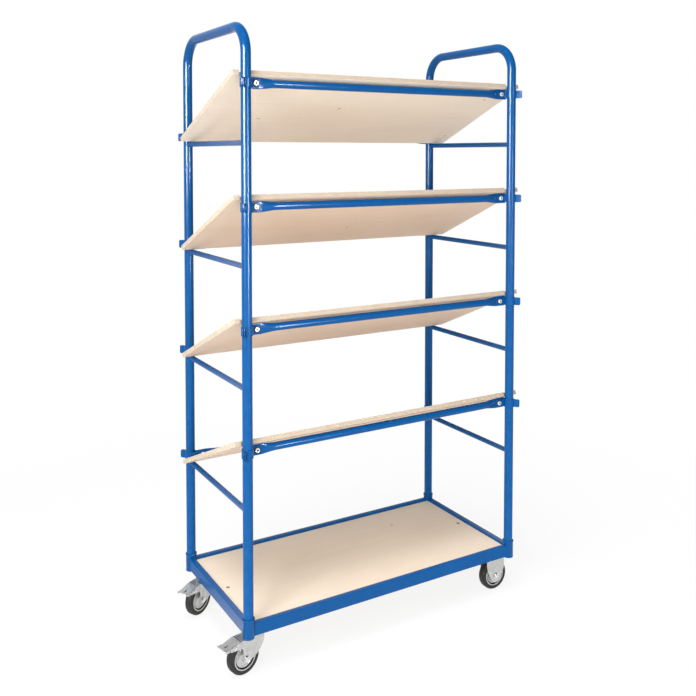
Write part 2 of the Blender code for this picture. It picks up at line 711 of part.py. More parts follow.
def fixed_bracket_mesh():
    """Bracket of a fixed castor: top plate, two cheeks and the axle bolt."""
    plate = rounded_rectangle(PLATE_LENGTH, PLATE_WIDTH, PLATE_CORNER_RADIUS)
    half, throat = FORK_HALF_WIDTH, FORK_THROAT / 2
    cheek_half = PLATE_LENGTH / 2 - PLATE_CORNER_RADIUS
    weld = PLATE_BOTTOM + PLATE_THICKNESS / 2
    shoulder = PLATE_BOTTOM - BRACKET_SHOULDER_DROP
    cheek = [(cheek_half, weld), (cheek_half, shoulder)]
    cheek += arc((0.0, WHEEL_RADIUS), BRACKET_BOSS_RADIUS, -20.0, -160.0, 6)
    cheek += [(-cheek_half, shoulder), (-cheek_half, weld)]
    joins = [crosswise(cheek, -half, -throat), crosswise(cheek, throat, half), *axle_shapes(0.0)]
    return worked(upright(plate, PLATE_BOTTOM, CASTOR_HEIGHT), "fixed_bracket", joins=joins)


def add_base(cart, paint, ply):
    """Rails, sockets and deck."""
    add("front_rail", side_rail_mesh(1), paint, cart, (0.0, -HALF_Y, RAIL_BOTTOM))
    add("rear_rail", side_rail_mesh(-1), paint, cart, (0.0, HALF_Y, RAIL_BOTTOM))
    for name, side in (("left_end_rail", -1), ("right_end_rail", 1)):
        add(name, end_rail_mesh(side), paint, cart, (side * HALF_X, 0.0, 0.0))
    add("deck_board", deck_mesh(), ply, cart)


def add_uprights(cart, paint):
    """Handle frames and their rungs."""
    frame, rung = handle_frame_mesh(), rung_mesh()
    for name, side in (("left", -1), ("right", 1)):
        add(f"{name}_handle_frame", frame, paint, cart, (side * HALF_X, 0.0, 0.0))
        for level in range(LEVELS):
            height = LOWEST_RUNG + level * LEVEL_PITCH
            add(f"{name}_rung_{level + 1}", rung, paint, cart, (side * HALF_X, 0.0, height))


def add_shelves(cart, paint, ply):
    """Shelf boards with the tubes and clamps that hold them."""
    slope, rear_y = shelf_slope()
    board, tube, clamp = shelf_mesh(slope, rear_y), cross_tube_mesh(), clamp_mesh()
    for level in range(LEVELS):
        number = level + 1
        rung = LOWEST_RUNG + level * LEVEL_PITCH
        add(f"shelf_board_{number}", board, ply, cart, (0.0, 0.0, rung))
        for row, face, rise in (("front", 1, FRONT_TUBE_RISE), ("rear", -1, REAR_TUBE_RISE)):
            height = rung + rise
            place = (0.0, -face * (HALF_Y - TUBE_SETBACK), height)
            add(f"{row}_tube_{number}", tube, paint, cart, place)
            for end, side in (("left", -1), ("right", 1)):
                corner = (side * HALF_X, -face * HALF_Y, height)
                name = f"{row}_{end}_clamp_{number}"
                add(name, clamp, paint, cart, corner, (-side, face, 1.0))


def add_castors(cart, zinc, rubber):
    """Two swivel castors with brakes at the left end and two fixed castors at the right."""
    tyre, hub = tyre_mesh(), hub_mesh()
    plate, fork, pedal, bracket = (
        swivel_plate_mesh(),
        swivel_fork_mesh(),
        pedal_mesh(),
        fixed_bracket_mesh(),
    )
    rows = (("front", -1, FRONT_SWIVEL_ANGLE), ("rear", 1, REAR_SWIVEL_ANGLE))
    for row, face, angle in rows:
        y = face * (HALF_Y - CASTOR_INSET_Y)
        name = f"{row}_left_castor"
        place = (-HALF_X + CASTOR_INSET_X, y, 0.0)
        add(f"{name}_plate", plate, zinc, cart, place)
        swivel = empty(f"{name}_swivel_axis", cart, place, angle)
        add(f"{name}_fork", fork, zinc, swivel)
        pivot = empty(f"{name}_pedal_axis", swivel, (-PIVOT_BACK, 0.0, PIVOT_HEIGHT))
        add(f"{name}_pedal", pedal, zinc, pivot)
        wheel = empty(f"{name}_axle_line", swivel, (-TRAIL, 0.0, WHEEL_RADIUS))
        add(f"{name}_hub", hub, zinc, wheel)
        add(f"{name}_tyre", tyre, rubber, wheel)
        name = f"{row}_right_castor"
        place = (HALF_X - CASTOR_INSET_X, y, 0.0)
        add(f"{name}_bracket", bracket, zinc, cart, place)
        wheel = empty(f"{name}_axle_line", cart, (place[0], y, WHEEL_RADIUS))
        add(f"{name}_hub", hub, zinc, wheel)
        add(f"{name}_tyre", tyre, rubber, wheel)


def centre_on_floor(cart):
    """Move the cart so that the origin is under the middle of its overall box."""
    bpy.context.view_layer.update()
    pieces = [obj for obj in bpy.context.scene.objects if obj.type == "MESH"]
    corners = [obj.matrix_world @ vert.co for obj in pieces for vert in obj.data.vertices]
    for axis in (0, 1):
        values = [corner[axis] for corner in corners]
        cart.location[axis] -= (min(values) + max(values)) / 2
    cart.location[2] -= min(corner[2] for corner in corners)
    bpy.context.view_layer.update()


def main():
    """Build the cart."""
    for obj in list(bpy.data.objects):
        bpy.data.objects.remove(obj)
    paint = material("blue_paint", (0.010, 0.133, 0.479), 0.35, 0.0)
    ply = material("birch_plywood", (0.76, 0.64, 0.48), 0.6, 0.0)
    zinc = material("zinc_plate", (0.62, 0.63, 0.63), 0.35, 0.9)
    rubber = material("black_rubber", (0.02, 0.02, 0.02), 0.75, 0.0)
    cart = empty("cart")
    add_base(cart, paint, ply)
    add_uprights(cart, paint)
    add_shelves(cart, paint, ply)
    add_castors(cart, zinc, rubber)
    centre_on_floor(cart)


main()
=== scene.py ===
"""Looks of the sloped shelf cart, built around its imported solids.

Units are metres and +Z is up. The long side runs along X, the loading side faces -Y, and the swivel
castors with brakes are at the -X end. Level 1 is the lowest shelf.
"""

import json
import logging
import math
from collections.abc import Callable, Iterable, Sequence
from dataclasses import dataclass, field
from enum import Enum
from typing import Any

import bmesh
import bpy
from mathutils import Matrix, Vector

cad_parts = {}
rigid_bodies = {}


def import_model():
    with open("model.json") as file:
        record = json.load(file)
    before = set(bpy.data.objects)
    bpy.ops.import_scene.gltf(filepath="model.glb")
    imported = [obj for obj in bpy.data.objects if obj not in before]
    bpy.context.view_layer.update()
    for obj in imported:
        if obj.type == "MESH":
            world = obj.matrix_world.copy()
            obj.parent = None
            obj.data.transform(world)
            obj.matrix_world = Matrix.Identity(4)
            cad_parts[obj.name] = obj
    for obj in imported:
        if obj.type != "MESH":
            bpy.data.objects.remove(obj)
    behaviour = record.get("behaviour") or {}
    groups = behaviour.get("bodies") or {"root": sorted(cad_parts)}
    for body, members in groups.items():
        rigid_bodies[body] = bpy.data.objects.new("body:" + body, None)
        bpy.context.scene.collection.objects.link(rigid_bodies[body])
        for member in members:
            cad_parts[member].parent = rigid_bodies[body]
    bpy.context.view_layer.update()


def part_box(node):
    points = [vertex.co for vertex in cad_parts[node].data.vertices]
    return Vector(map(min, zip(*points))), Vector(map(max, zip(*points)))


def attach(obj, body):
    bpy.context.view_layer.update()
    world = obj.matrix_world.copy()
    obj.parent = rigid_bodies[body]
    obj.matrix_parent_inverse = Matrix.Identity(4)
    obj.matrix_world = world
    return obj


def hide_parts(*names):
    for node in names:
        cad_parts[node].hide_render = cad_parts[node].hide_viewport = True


LOG = logging.getLogger("shelf_cart")

# Points closer than this are one point.
MERGE_DISTANCE = 1e-5
# Slack for rounding where lengths are compared.
ROUNDING = 1e-9
# Largest share of a side that a rounded corner takes.
LARGEST_CUT = 0.49
# Half length of a cutter that passes right through a castor or a tube.
CUT_REACH = 0.03
# Sides of a hexagon head, a multiple of six.
HEX_SIDES = 48
# Pitch of the bolts' threads.
THREAD_PITCH = 0.00125

Pair = tuple[float, float]
Point2 = tuple[float, float]
Point3 = tuple[float, float, float]
Colour = tuple[float, float, float]
Placing = Callable[[float, float, float], Point3]
Shape = bmesh.types.BMesh
Mesh = bpy.types.Mesh
Meshes = dict[str, Mesh]
Tree = bpy.types.NodeTree
Node = bpy.types.Node
Socket = bpy.types.NodeSocket


class Axis(Enum):
    """Direction that a turned shape stands along."""

    Y = "Y"
    Z = "Z"


class End(Enum):
    """End of the cart along X."""

    LEFT = -1
    RIGHT = 1


class Row(Enum):
    """Side of the cart along Y, with the direction from it into the cart."""

    FRONT = 1
    REAR = -1


class Seen(Enum):
    """Kind of rays that a lamp lights."""

    DIFFUSE = "diffuse"
    GLOSSY = "glossy"


class Cut(Enum):
    """What a tool does to a shape, with Blender's name for it."""

    AWAY = "DIFFERENCE"
    DOWN_TO = "INTERSECT"


class Look(Enum):
    """Finish of a piece, with the record's slot that it belongs to."""

    PAINT = ("cart_paint", "blue_paint")
    PLY_FACE = ("plywood_face", "birch_plywood")
    # Darker, warmer copy of the face finish: painted shade on the lower shelves.
    PLY_WARM = ("plywood_warm", "birch_plywood")
    PLY_END = ("plywood_end", "birch_plywood")
    # Darker copy of the end finish: painted shade on the boards' long edges.
    PLY_EDGE = ("plywood_edge", "birch_plywood")
    ZINC = ("pressed_zinc", "zinc_plate")
    FASTENER = ("bright_fastener", "zinc_plate")
    NUT = ("bright_nut", "zinc_plate")
    # Near-black finish for the deck screws, and painted shade at the clamp bolts and under the pedal slots.
    DARK = ("blackened_steel", "zinc_plate")
    WHEEL = ("wheel_centre", "zinc_plate")
    TYRE = ("tyre_rubber", "black_rubber")

    @property
    def slot(self) -> str:
        """The record's material slot."""
        return self.value[1]


@dataclass(frozen=True)
class CartSizes:
    """Sizes that several pieces share, as in the part's source."""

    gap: float = 0.0003
    post_spacing_x: float = 1.050
    post_spacing_y: float = 0.503
    handle_top: float = 2.034
    post_diameter: float = 0.032
    levels: range = range(1, 5)
    lowest_rung: float = 0.526
    level_pitch: float = 0.378
    rung_diameter: float = 0.018
    front_tube_rise: float = 0.182
    rear_tube_rise: float = 0.0245
    tube_diameter: float = 0.025
    flat_height: float = 0.036
    flat_thickness: float = 0.0035
    bolt_place: float = 0.038
    castor_height: float = 0.130
    pad_thickness: float = 0.004
    rail_height: float = 0.040
    rail_width: float = 0.020
    socket_wall: float = 0.0025
    deck_recess: float = 0.008
    deck_thickness: float = 0.012
    plate_length: float = 0.096
    plate_width: float = 0.080
    castor_inset_x: float = 0.036
    castor_inset_y: float = 0.046

    @property
    def half_x(self) -> float:
        """Place of the right posts along X."""
        return self.post_spacing_x / 2

    @property
    def half_y(self) -> float:
        """Place of the rear posts along Y."""
        return self.post_spacing_y / 2

    @property
    def post_radius(self) -> float:
        """Outside radius of a post."""
        return self.post_diameter / 2

    @property
    def tube_setback(self) -> float:
        """Distance of a cross tube's axis from the post axis, into the cart."""
        return self.post_radius + self.gap + self.flat_thickness / 2

    @property
    def socket_radius(self) -> float:
        """Outside radius of a corner socket."""
        return self.post_radius + self.gap + self.socket_wall

    @property
    def pad_bottom(self) -> float:
        """Height of the castor pads' underside."""
        return self.castor_height + self.gap

    @property
    def pad_top(self) -> float:
        """Height of the castor pads' upper side."""
        return self.pad_bottom + self.pad_thickness

    @property
    def rail_bottom(self) -> float:
        """Height of the base rails' underside."""
        return self.pad_top + self.gap

    @property
    def deck_top(self) -> float:
        """Height of the deck's upper side."""
        return self.rail_bottom + self.rail_height - self.deck_recess

    def rung_height(self, level: int) -> float:
        """Height of the axis of a level's rungs, where 1 is the lowest level."""
        return self.lowest_rung + (level - 1) * self.level_pitch


def arc(centre: Point2, radius: float, start: float, end: float, steps: int) -> list[Point2]:
    """Points on an arc in the plane, in equal steps between two angles in degrees, both ends included."""
    angles = (math.radians(start + (end - start) * i / steps) for i in range(steps + 1))
    return [(centre[0] + radius * math.cos(a), centre[1] + radius * math.sin(a)) for a in angles]


def circle(radius: float, sides: int, centre: Point2 = (0.0, 0.0)) -> list[Point2]:
    """Corners of a regular polygon in the plane."""
    return arc(centre, radius, 0.0, 360.0, sides)[:-1]


def swept(start: Point2, pull: Point2, end: Point2, steps: int) -> list[Point2]:
    """Points on a curve that is pulled towards a point.

    Args:
        start: First point.
        pull: Point that the curve bends towards.
        end: Last point.
        steps: Number of steps.

    Returns:
        The points, both ends included.
    """
    points = []
    for i in range(steps + 1):
        t = i / steps
        shares = ((1 - t) ** 2, 2 * t * (1 - t), t * t)
        points.append(tuple(sum(s * c for s, c in zip(shares, row)) for row in zip(start, pull, end)))
    return points


def softened(corners: Sequence[Point2], radii: float | Sequence[float], steps: int = 5) -> list[Point2]:
    """Outline with rounded corners.

    Args:
        corners: Corners of the outline.
        radii: One radius for all corners, or one for each. A radius of 0 keeps the corner.
        steps: Steps in each rounded corner.

    Returns:
        The points of the rounded outline.
    """
    count = len(corners)
    each = [radii] * count if isinstance(radii, (int, float)) else list(radii)
    outline: list[Point2] = []
    for i, radius in enumerate(each):
        corner = Vector(corners[i])
        if radius <= 0:
            outline.append(tuple(corner))
            continue
        back, ahead = Vector(corners[i - 1]) - corner, Vector(corners[(i + 1) % count]) - corner
        half_angle = back.angle(ahead) / 2
        shortest = min(back.length, ahead.length)
        cut = min(radius / math.tan(half_angle), LARGEST_CUT * shortest)
        first, last = corner + back.normalized() * cut, corner + ahead.normalized() * cut
        outline += swept(tuple(first), tuple(corner), tuple(last), steps)
    return outline


def smooth_share(t: float) -> float:
    """Share that leaves 0 and reaches 1 gently."""
    t = min(1.0, max(0.0, t))
    return t * t * (3 - 2 * t)


def lofted(rings: Sequence[Sequence[Point3]], looped: bool = False) -> Shape:
    """Closed skin through rings of points.

    Args:
        rings: Rings with the same number of points.
        looped: Whether the last ring joins the first, instead of both being capped.

    Returns:
        The shape.
    """
    bm = bmesh.new()
    skins = [[bm.verts.new(point) for point in ring] for ring in rings]
    spans = list(zip(skins, skins[1:]))
    if looped:
        spans.append((skins[-1], skins[0]))
    else:
        bm.faces.new(skins[0])
        bm.faces.new(skins[-1])
    for first, second in spans:
        for i in range(len(first)):
            j = (i + 1) % len(first)
            bm.faces.new((first[i], first[j], second[j], second[i]))
    bmesh.ops.recalc_face_normals(bm, faces=bm.faces)
    return bm


def upright(outline: Sequence[Point2], bottom: float, top: float) -> Shape:
    """Extrusion of a plan outline between two heights."""
    return lofted([[(u, v, z) for u, v in outline] for z in (bottom, top)])


def crosswise(outline: Sequence[Point2], low: float, high: float) -> Shape:
    """Extrusion of a side outline, given as X and Z, between two places along Y."""
    return lofted([[(u, y, v) for u, v in outline] for y in (low, high)])


def lengthwise(outline: Sequence[Point2], low: float, high: float) -> Shape:
    """Extrusion of an end outline, given as Y and Z, between two places along X."""
    return lofted([[(x, u, v) for u, v in outline] for x in (low, high)])


def block(low: Point3, high: Point3) -> Shape:
    """Square-edged block, for cuts and plain bars."""
    corners = [(low[0], low[1]), (high[0], low[1]), (high[0], high[1]), (low[0], high[1])]
    return upright(corners, low[2], high[2])


def turned(
    profile: Sequence[Point2],
    sides: int,
    axis: Axis = Axis.Z,
    looped: bool = False,
    corner: Callable[[float], float] | None = None,
) -> Shape:
    """Shape turned on a lathe.

    Args:
        profile: Pairs of radius and place along the axis, in order.
        sides: Number of sides.
        axis: Direction of the axis.
        looped: Whether the profile closes on itself, as in a ring.
        corner: Largest radius at an angle, for shapes such as a hexagon.

    Returns:
        The shape.
    """
    rings = []
    for radius, place in profile:
        ring = []
        for i in range(sides):
            angle = 2 * math.pi * i / sides
            reach = min(radius, corner(angle)) if corner else radius
            u, v = reach * math.cos(angle), reach * math.sin(angle)
            ring.append((u, v, place) if axis is Axis.Z else (u, place, v))
        rings.append(ring)
    return lofted(rings, looped)


def hex_head(across_flats: float, low: float, high: float, axis: Axis, turn: float) -> Shape:
    """Hexagon head or nut with turned-off corners.

    Args:
        across_flats: Distance between opposite flats.
        low: Place of one face along the axis.
        high: Place of the other face.
        axis: Direction of the axis.
        turn: Turn of the hexagon, in degrees.

    Returns:
        The shape.
    """
    sector = math.pi / 3

    def corner(angle: float) -> float:
        """Radius of the hexagon at an angle."""
        from_flat = (angle - math.radians(turn)) % sector - sector / 2
        return across_flats / 2 / math.cos(from_flat)

    full = across_flats / 2 / math.cos(math.pi / 6)
    rise = 0.55 * (full - across_flats / 2)
    face = full - 1.6 * rise
    step = math.copysign(rise, high - low)
    profile = [(face, low), (full, low + step), (full, high - step), (face, high)]
    return turned(profile, HEX_SIDES, axis, corner=corner)


def washer(radius: float, low: float, high: float, axis: Axis, sides: int) -> Shape:
    """Flat washer with eased rims.

    Args:
        radius: Its radius.
        low: Place of one face along the axis.
        high: Place of the other face.
        axis: Direction of the axis.
        sides: Number of sides.

    Returns:
        The shape.
    """
    face = radius - 0.0002
    step = math.copysign(0.0003, high - low)
    return turned([(face, low), (radius, low + step), (radius, high - step), (face, high)], sides, axis)


def threaded(radius: float, low: float, high: float) -> Shape:
    """Bolt end along Y with thread ridges and a chamfered tip.

    Args:
        radius: Radius of the ridges.
        low: Place where the thread starts.
        high: Place of the tip.

    Returns:
        The shape.
    """
    turns = max(1, int(abs(high - low) / THREAD_PITCH))
    step = (high - low) / turns
    root, chamfer, tip = radius * 0.9, radius * 0.86, radius * 0.72
    profile = []
    for i in range(turns):
        profile += [(root, low + step * i), (radius, low + step * (i + 0.5))]
    profile += [(chamfer, high - step * 0.2), (tip, high)]
    return turned(profile, 20, Axis.Y)


def moved(bm: Shape, x: float = 0.0, y: float = 0.0, z: float = 0.0) -> Shape:
    """The same shape, moved."""
    bmesh.ops.translate(bm, verts=bm.verts, vec=(x, y, z))
    return bm


def flipped(bm: Shape, x: float = 1.0, y: float = 1.0) -> Shape:
    """Mirror a shape.

    Args:
        bm: The shape.
        x: -1 to mirror it along X.
        y: -1 to mirror it along Y.

    Returns:
        The same shape.
    """
    bmesh.ops.scale(bm, verts=bm.verts, vec=(x, y, 1.0))
    bmesh.ops.recalc_face_normals(bm, faces=bm.faces)
    return bm


def gathered(shapes: Iterable[Shape]) -> Shape:
    """Put several closed shapes into one.

    Args:
        shapes: The shapes, which are used up.

    Returns:
        The whole.
    """
    whole = bmesh.new()
    for shape in shapes:
        spare = as_mesh(shape, "spare")
        whole.from_mesh(spare)
        bpy.data.meshes.remove(spare)
    return whole


def as_mesh(bm: Shape, name: str) -> Mesh:
    """Make mesh data from a shape.

    Args:
        bm: The shape, which is used up.
        name: Name of the mesh.

    Returns:
        The mesh.
    """
    mesh = bpy.data.meshes.new(name)
    bm.to_mesh(mesh)
    bm.free()
    return mesh


def machined(base: Shape, steps: Sequence[tuple[Cut, Shape]]) -> Shape:
    """Shape after cuts, without doubled or spare points.

    Args:
        base: Shape to work on.
        steps: Pairs of kind of cut and tool.

    Returns:
        The worked shape.
    """
    shapes = [base, *(tool for _, tool in steps)]
    objects = [bpy.data.objects.new("work", as_mesh(shape, "work")) for shape in shapes]
    for obj in objects:
        bpy.context.scene.collection.objects.link(obj)
    for (cut, _), tool in zip(steps, objects[1:]):
        modifier = objects[0].modifiers.new(cut.name, "BOOLEAN")
        modifier.operation = cut.value
        modifier.solver = "EXACT"
        modifier.object = tool
    graph = bpy.context.evaluated_depsgraph_get()
    mesh = bpy.data.meshes.new_from_object(objects[0].evaluated_get(graph))
    worked = bmesh.new()
    worked.from_mesh(mesh)
    bpy.data.meshes.remove(mesh)
    for obj in objects:
        bpy.data.objects.remove(obj)
    bmesh.ops.remove_doubles(worked, verts=worked.verts, dist=MERGE_DISTANCE)
    bmesh.ops.dissolve_degenerate(worked, dist=MERGE_DISTANCE, edges=worked.edges)
    spare = [vert for vert in worked.verts if len(vert.link_edges) == 2]
    bmesh.ops.dissolve_verts(worked, verts=spare)
    return worked


def resampled(path: Sequence[Point2], marks: Sequence[float]) -> list[tuple[float, Vector]]:
    """Points of a path with more points at given distances from either end.

    Args:
        path: Points of the path.
        marks: Distances from an end at which points are added.

    Returns:
        Pairs of distance along the path and point.
    """
    points = [Vector(p) for p in path]
    places = [0.0]
    for first, second in zip(points, points[1:]):
        places.append(places[-1] + (second - first).length)
    total = places[-1]
    wanted = sorted({*places, *marks, *(total - mark for mark in marks)})
    found: list[tuple[float, Vector]] = []
    for place in wanted:
        if found and place - found[-1][0] < MERGE_DISTANCE:
            continue
        i = max(k for k in range(len(places) - 1) if places[k] <= place + ROUNDING)
        share = (place - places[i]) / (places[i + 1] - places[i])
        found.append((place, points[i].lerp(points[i + 1], min(1.0, share))))
    return found


def strip(
    path: Sequence[Point2],
    thickness: float,
    half_width: Callable[[float], float],
    corner: Pair,
    set_point: Placing,
) -> Shape:
    """Flat strip bent along a path, with rounded corners at its ends.

    Args:
        path: Middle line of the strip in the plane in which it bends.
        thickness: Thickness of the strip.
        half_width: Half the width at a distance along the path.
        corner: Radius of the corners at the start and at the end.
        set_point: Puts a point, given in the plane and across it, in its place.

    Returns:
        The shape.
    """
    corner_steps = (0.0, 0.1, 0.25, 0.45, 0.7, 1.0)
    stations = resampled(path, [radius * step for radius in corner for step in corner_steps])
    total = stations[-1][0]
    rings = []
    for i, (place, point) in enumerate(stations):
        ahead = stations[min(i + 1, len(stations) - 1)][1]
        behind = stations[max(i - 1, 0)][1]
        along = (ahead - behind).normalized()
        out = Vector((-along.y, along.x)) * thickness / 2
        width = half_width(place)
        for distance, radius in ((place, corner[0]), (total - place, corner[1])):
            if distance < radius:
                width -= radius - math.sqrt(radius**2 - (radius - distance) ** 2)
        low, high = point - out, point + out
        corners = ((low, -width), (high, -width), (high, width), (low, width))
        rings.append([set_point(spot.x, spot.y, across) for spot, across in corners])
    return lofted(rings)


@dataclass
class NodeDesk:
    """Adds nodes to a tree and links them."""

    tree: Tree

    def add(self, kind: str, **values: Any) -> Node:
        """Add a node.

        Args:
            kind: Blender's name of the node type.
            values: Settings of the node by name.

        Returns:
            The node.
        """
        node = self.tree.nodes.new(kind)
        for name, value in values.items():
            setattr(node, name, value)
        return node

    def set(self, socket: Socket, value: Any) -> None:
        """Link an input, or set it.

        Args:
            socket: The input.
            value: Socket to link or plain value.
        """
        if isinstance(value, Socket):
            self.tree.links.new(value, socket)
        else:
            socket.default_value = value

    def feed(self, node: Node, **inputs: Any) -> Node:
        """Set or link a node's inputs.

        Args:
            node: The node.
            inputs: Sockets to link or plain values, by input name with _ for a space.

        Returns:
            The same node.
        """
        for name, value in inputs.items():
            self.set(node.inputs[name.replace("_", " ")], value)
        return node

    def math(self, operation: str, first: Any, second: Any = 0.0) -> Socket:
        """Result of a math node.

        Args:
            operation: Operation of the node.
            first: Socket or value of the first input.
            second: Socket or value of the second input.

        Returns:
            The output socket.
        """
        node = self.add("ShaderNodeMath", operation=operation)
        for socket, value in zip(node.inputs, (first, second)):
            self.set(socket, value)
        return node.outputs[0]

    def span(self, value: Any, low: float, high: float, new_low: float, new_high: float) -> Any:
        """Carry a value from one range to another and hold it at the ends.

        Args:
            value: Socket of the value.
            low: Start of its range.
            high: End of its range.
            new_low: Start of the new range.
            new_high: End of the new range.

        Returns:
            The output socket.
        """
        node = self.add("ShaderNodeMapRange")
        self.feed(node, Value=value, From_Min=low, From_Max=high, To_Min=new_low, To_Max=new_high)
        return node.outputs["Result"]

    def blend(self, share: Any, first: Any, second: Any) -> Socket:
        """Mix two colours.

        Args:
            share: Socket or value of the second colour's share.
            first: Socket or plain colour.
            second: Socket or plain colour.

        Returns:
            The output socket.
        """
        node = self.add("ShaderNodeMix", data_type="RGBA")
        self.set(node.inputs[0], share)
        for index, value in ((6, first), (7, second)):
            self.set(node.inputs[index], value if isinstance(value, Socket) else (*value, 1.0))
        return node.outputs[2]

    def effect(self, tree: Tree, **inputs: Any) -> Any:
        """Outputs of a node group that is placed with its own values."""
        node = self.add("ShaderNodeGroup", node_tree=tree)
        return self.feed(node, **inputs).outputs


class Effects:
    """Node groups that several finishes use, each built once."""

    def __init__(self) -> None:
        """Build the groups."""
        self.relief = self.make_relief()
        self.drift = self.make_drift()
        self.wear = self.make_wear()
        self.figure = self.make_figure()

    @staticmethod
    def begin(name: str, inputs: dict[str, str], outputs: dict[str, str]) -> tuple[NodeDesk, Any, Any]:
        """Start a group.

        Args:
            name: Name of the group.
            inputs: Socket types of the inputs by name.
            outputs: Socket types of the outputs by name.

        Returns:
            The desk, the input node's outputs and the output node.
        """
        tree = bpy.data.node_groups.new(name, "ShaderNodeTree")
        for row, direction in ((inputs, "INPUT"), (outputs, "OUTPUT")):
            for label, kind in row.items():
                tree.interface.new_socket(label, in_out=direction, socket_type=f"NodeSocket{kind}")
        desk = NodeDesk(tree)
        return desk, desk.add("NodeGroupInput").outputs, desk.add("NodeGroupOutput")

    def make_relief(self) -> Tree:
        """Fine uneven height, such as the peel of paint or the grain of rubber.

        Returns:
            The group.
        """
        inputs = {"Place": "Vector", "Grain": "Float", "Depth": "Float"}
        desk, given, out = self.begin("fine_relief", inputs, {"Height": "Float"})
        noise = desk.add("ShaderNodeTexNoise")
        desk.feed(noise, Vector=given["Place"], Scale=given["Grain"], Detail=3.0, Roughness=0.5)
        height = desk.math("MULTIPLY", noise.outputs["Fac"], given["Depth"])
        desk.feed(out, Height=height)
        return desk.tree

    def make_drift(self) -> Tree:
        """Slow change between two tones.

        Returns:
            The group.
        """
        inputs = {"Place": "Vector", "Spread": "Float", "First": "Color", "Second": "Color"}
        desk, given, out = self.begin("tone_drift", inputs, {"Colour": "Color", "Amount": "Float"})
        noise = desk.add("ShaderNodeTexNoise")
        desk.feed(noise, Vector=given["Place"], Scale=given["Spread"], Detail=5.0, Roughness=0.6)
        amount = desk.span(noise.outputs["Fac"], 0.3, 0.7, 0.0, 1.0)
        desk.feed(out, Colour=desk.blend(amount, given["First"], given["Second"]), Amount=amount)
        return desk.tree

    def make_wear(self) -> Tree:
        """Mask of rubbed edges, broken up by noise.

        Returns:
            The group.
        """
        inputs = {"Place": "Vector", "Grain": "Float", "Amount": "Float"}
        desk, given, out = self.begin("edge_wear", inputs, {"Mask": "Float"})
        geometry = desk.add("ShaderNodeNewGeometry")
        edge = desk.span(geometry.outputs["Pointiness"], 0.52, 0.62, 0.0, 1.0)
        noise = desk.add("ShaderNodeTexNoise")
        desk.feed(noise, Vector=given["Place"], Scale=given["Grain"], Detail=4.0)
        broken = desk.span(noise.outputs["Fac"], 0.35, 0.7, 0.0, 1.0)
        mask = desk.math("MULTIPLY", desk.math("MULTIPLY", edge, broken), given["Amount"])
        desk.feed(out, Mask=mask)
        return desk.tree

    def make_figure(self) -> Tree:
        """Figure of peeled birch veneer: long streaks, broad bands, pores and pin knots.

        Returns:
            The group.
        """
        inputs = {"Place": "Vector", "Streaks": "Float", "Knots": "Float"}
        outputs = {"Figure": "Float", "Bands": "Float", "Pores": "Float", "Knot": "Float"}
        desk, given, out = self.begin("veneer_figure", inputs, outputs)

        def stretched(along: float, across: float, detail: float) -> Any:
            """Noise drawn out along X.

            Args:
                along: Scale along X.
                across: Scale across it.
                detail: Detail of the noise.

            Returns:
                The output socket.
            """
            mapping = desk.add("ShaderNodeMapping")
            desk.feed(mapping, Vector=given["Place"], Scale=(along, across, across))
            noise = desk.add("ShaderNodeTexNoise")
            desk.feed(noise, Vector=mapping.outputs[0], Scale=1.0, Detail=detail, Roughness=0.55)
            desk.feed(noise, Distortion=0.6)
            return noise.outputs["Fac"]

        streaks = desk.span(stretched(2.2, 60.0, 4.0), 0.3, 0.72, 0.0, 1.0)
        bands = desk.span(stretched(1.1, 7.0, 2.0), 0.3, 0.7, 0.0, 1.0)
        pores = desk.span(stretched(26.0, 700.0, 2.0), 0.62, 0.75, 0.0, 1.0)
        squeeze = desk.add("ShaderNodeMapping")
        desk.feed(squeeze, Vector=given["Place"], Scale=(3.4, 5.2, 0.0))
        cells = desk.add("ShaderNodeTexVoronoi", voronoi_dimensions="2D")
        desk.feed(cells, Vector=squeeze.outputs[0], Scale=1.0)
        near = desk.span(cells.outputs["Distance"], 0.008, 0.030, 1.0, 0.0)
        chosen = desk.add("ShaderNodeSeparateColor")
        desk.feed(chosen, Color=cells.outputs["Color"])
        rare = desk.math("GREATER_THAN", chosen.outputs[0], 0.68)
        knot = desk.math("MULTIPLY", desk.math("MULTIPLY", near, rare), given["Knots"])
        figure = desk.math("MULTIPLY", streaks, given["Streaks"])
        desk.feed(out, Figure=figure, Bands=bands, Pores=pores, Knot=knot)
        return desk.tree


@dataclass
class Canvas:
    """A material in the making: its nodes, its shader, the piece's coordinates and the shared effects."""

    desk: NodeDesk
    shader: Node
    place: Socket
    effects: Effects

    def bump(self, height: Any, distance: float, strength: float = 1.0) -> None:
        """Feed the shader's normal from a height.

        Args:
            height: Socket of the height.
            distance: Depth of the relief.
            strength: Share of it that shows.
        """
        bump = self.desk.add("ShaderNodeBump")
        self.desk.feed(bump, Height=height, Distance=distance, Strength=strength)
        self.desk.feed(self.shader, Normal=bump.outputs["Normal"])

    def relief(self, grain: float, depth: float) -> None:
        """Give the surface a fine relief of a given grain and depth."""
        relief = self.desk.effect(self.effects.relief, Place=self.place, Grain=grain, Depth=1.0)
        self.bump(relief["Height"], depth)


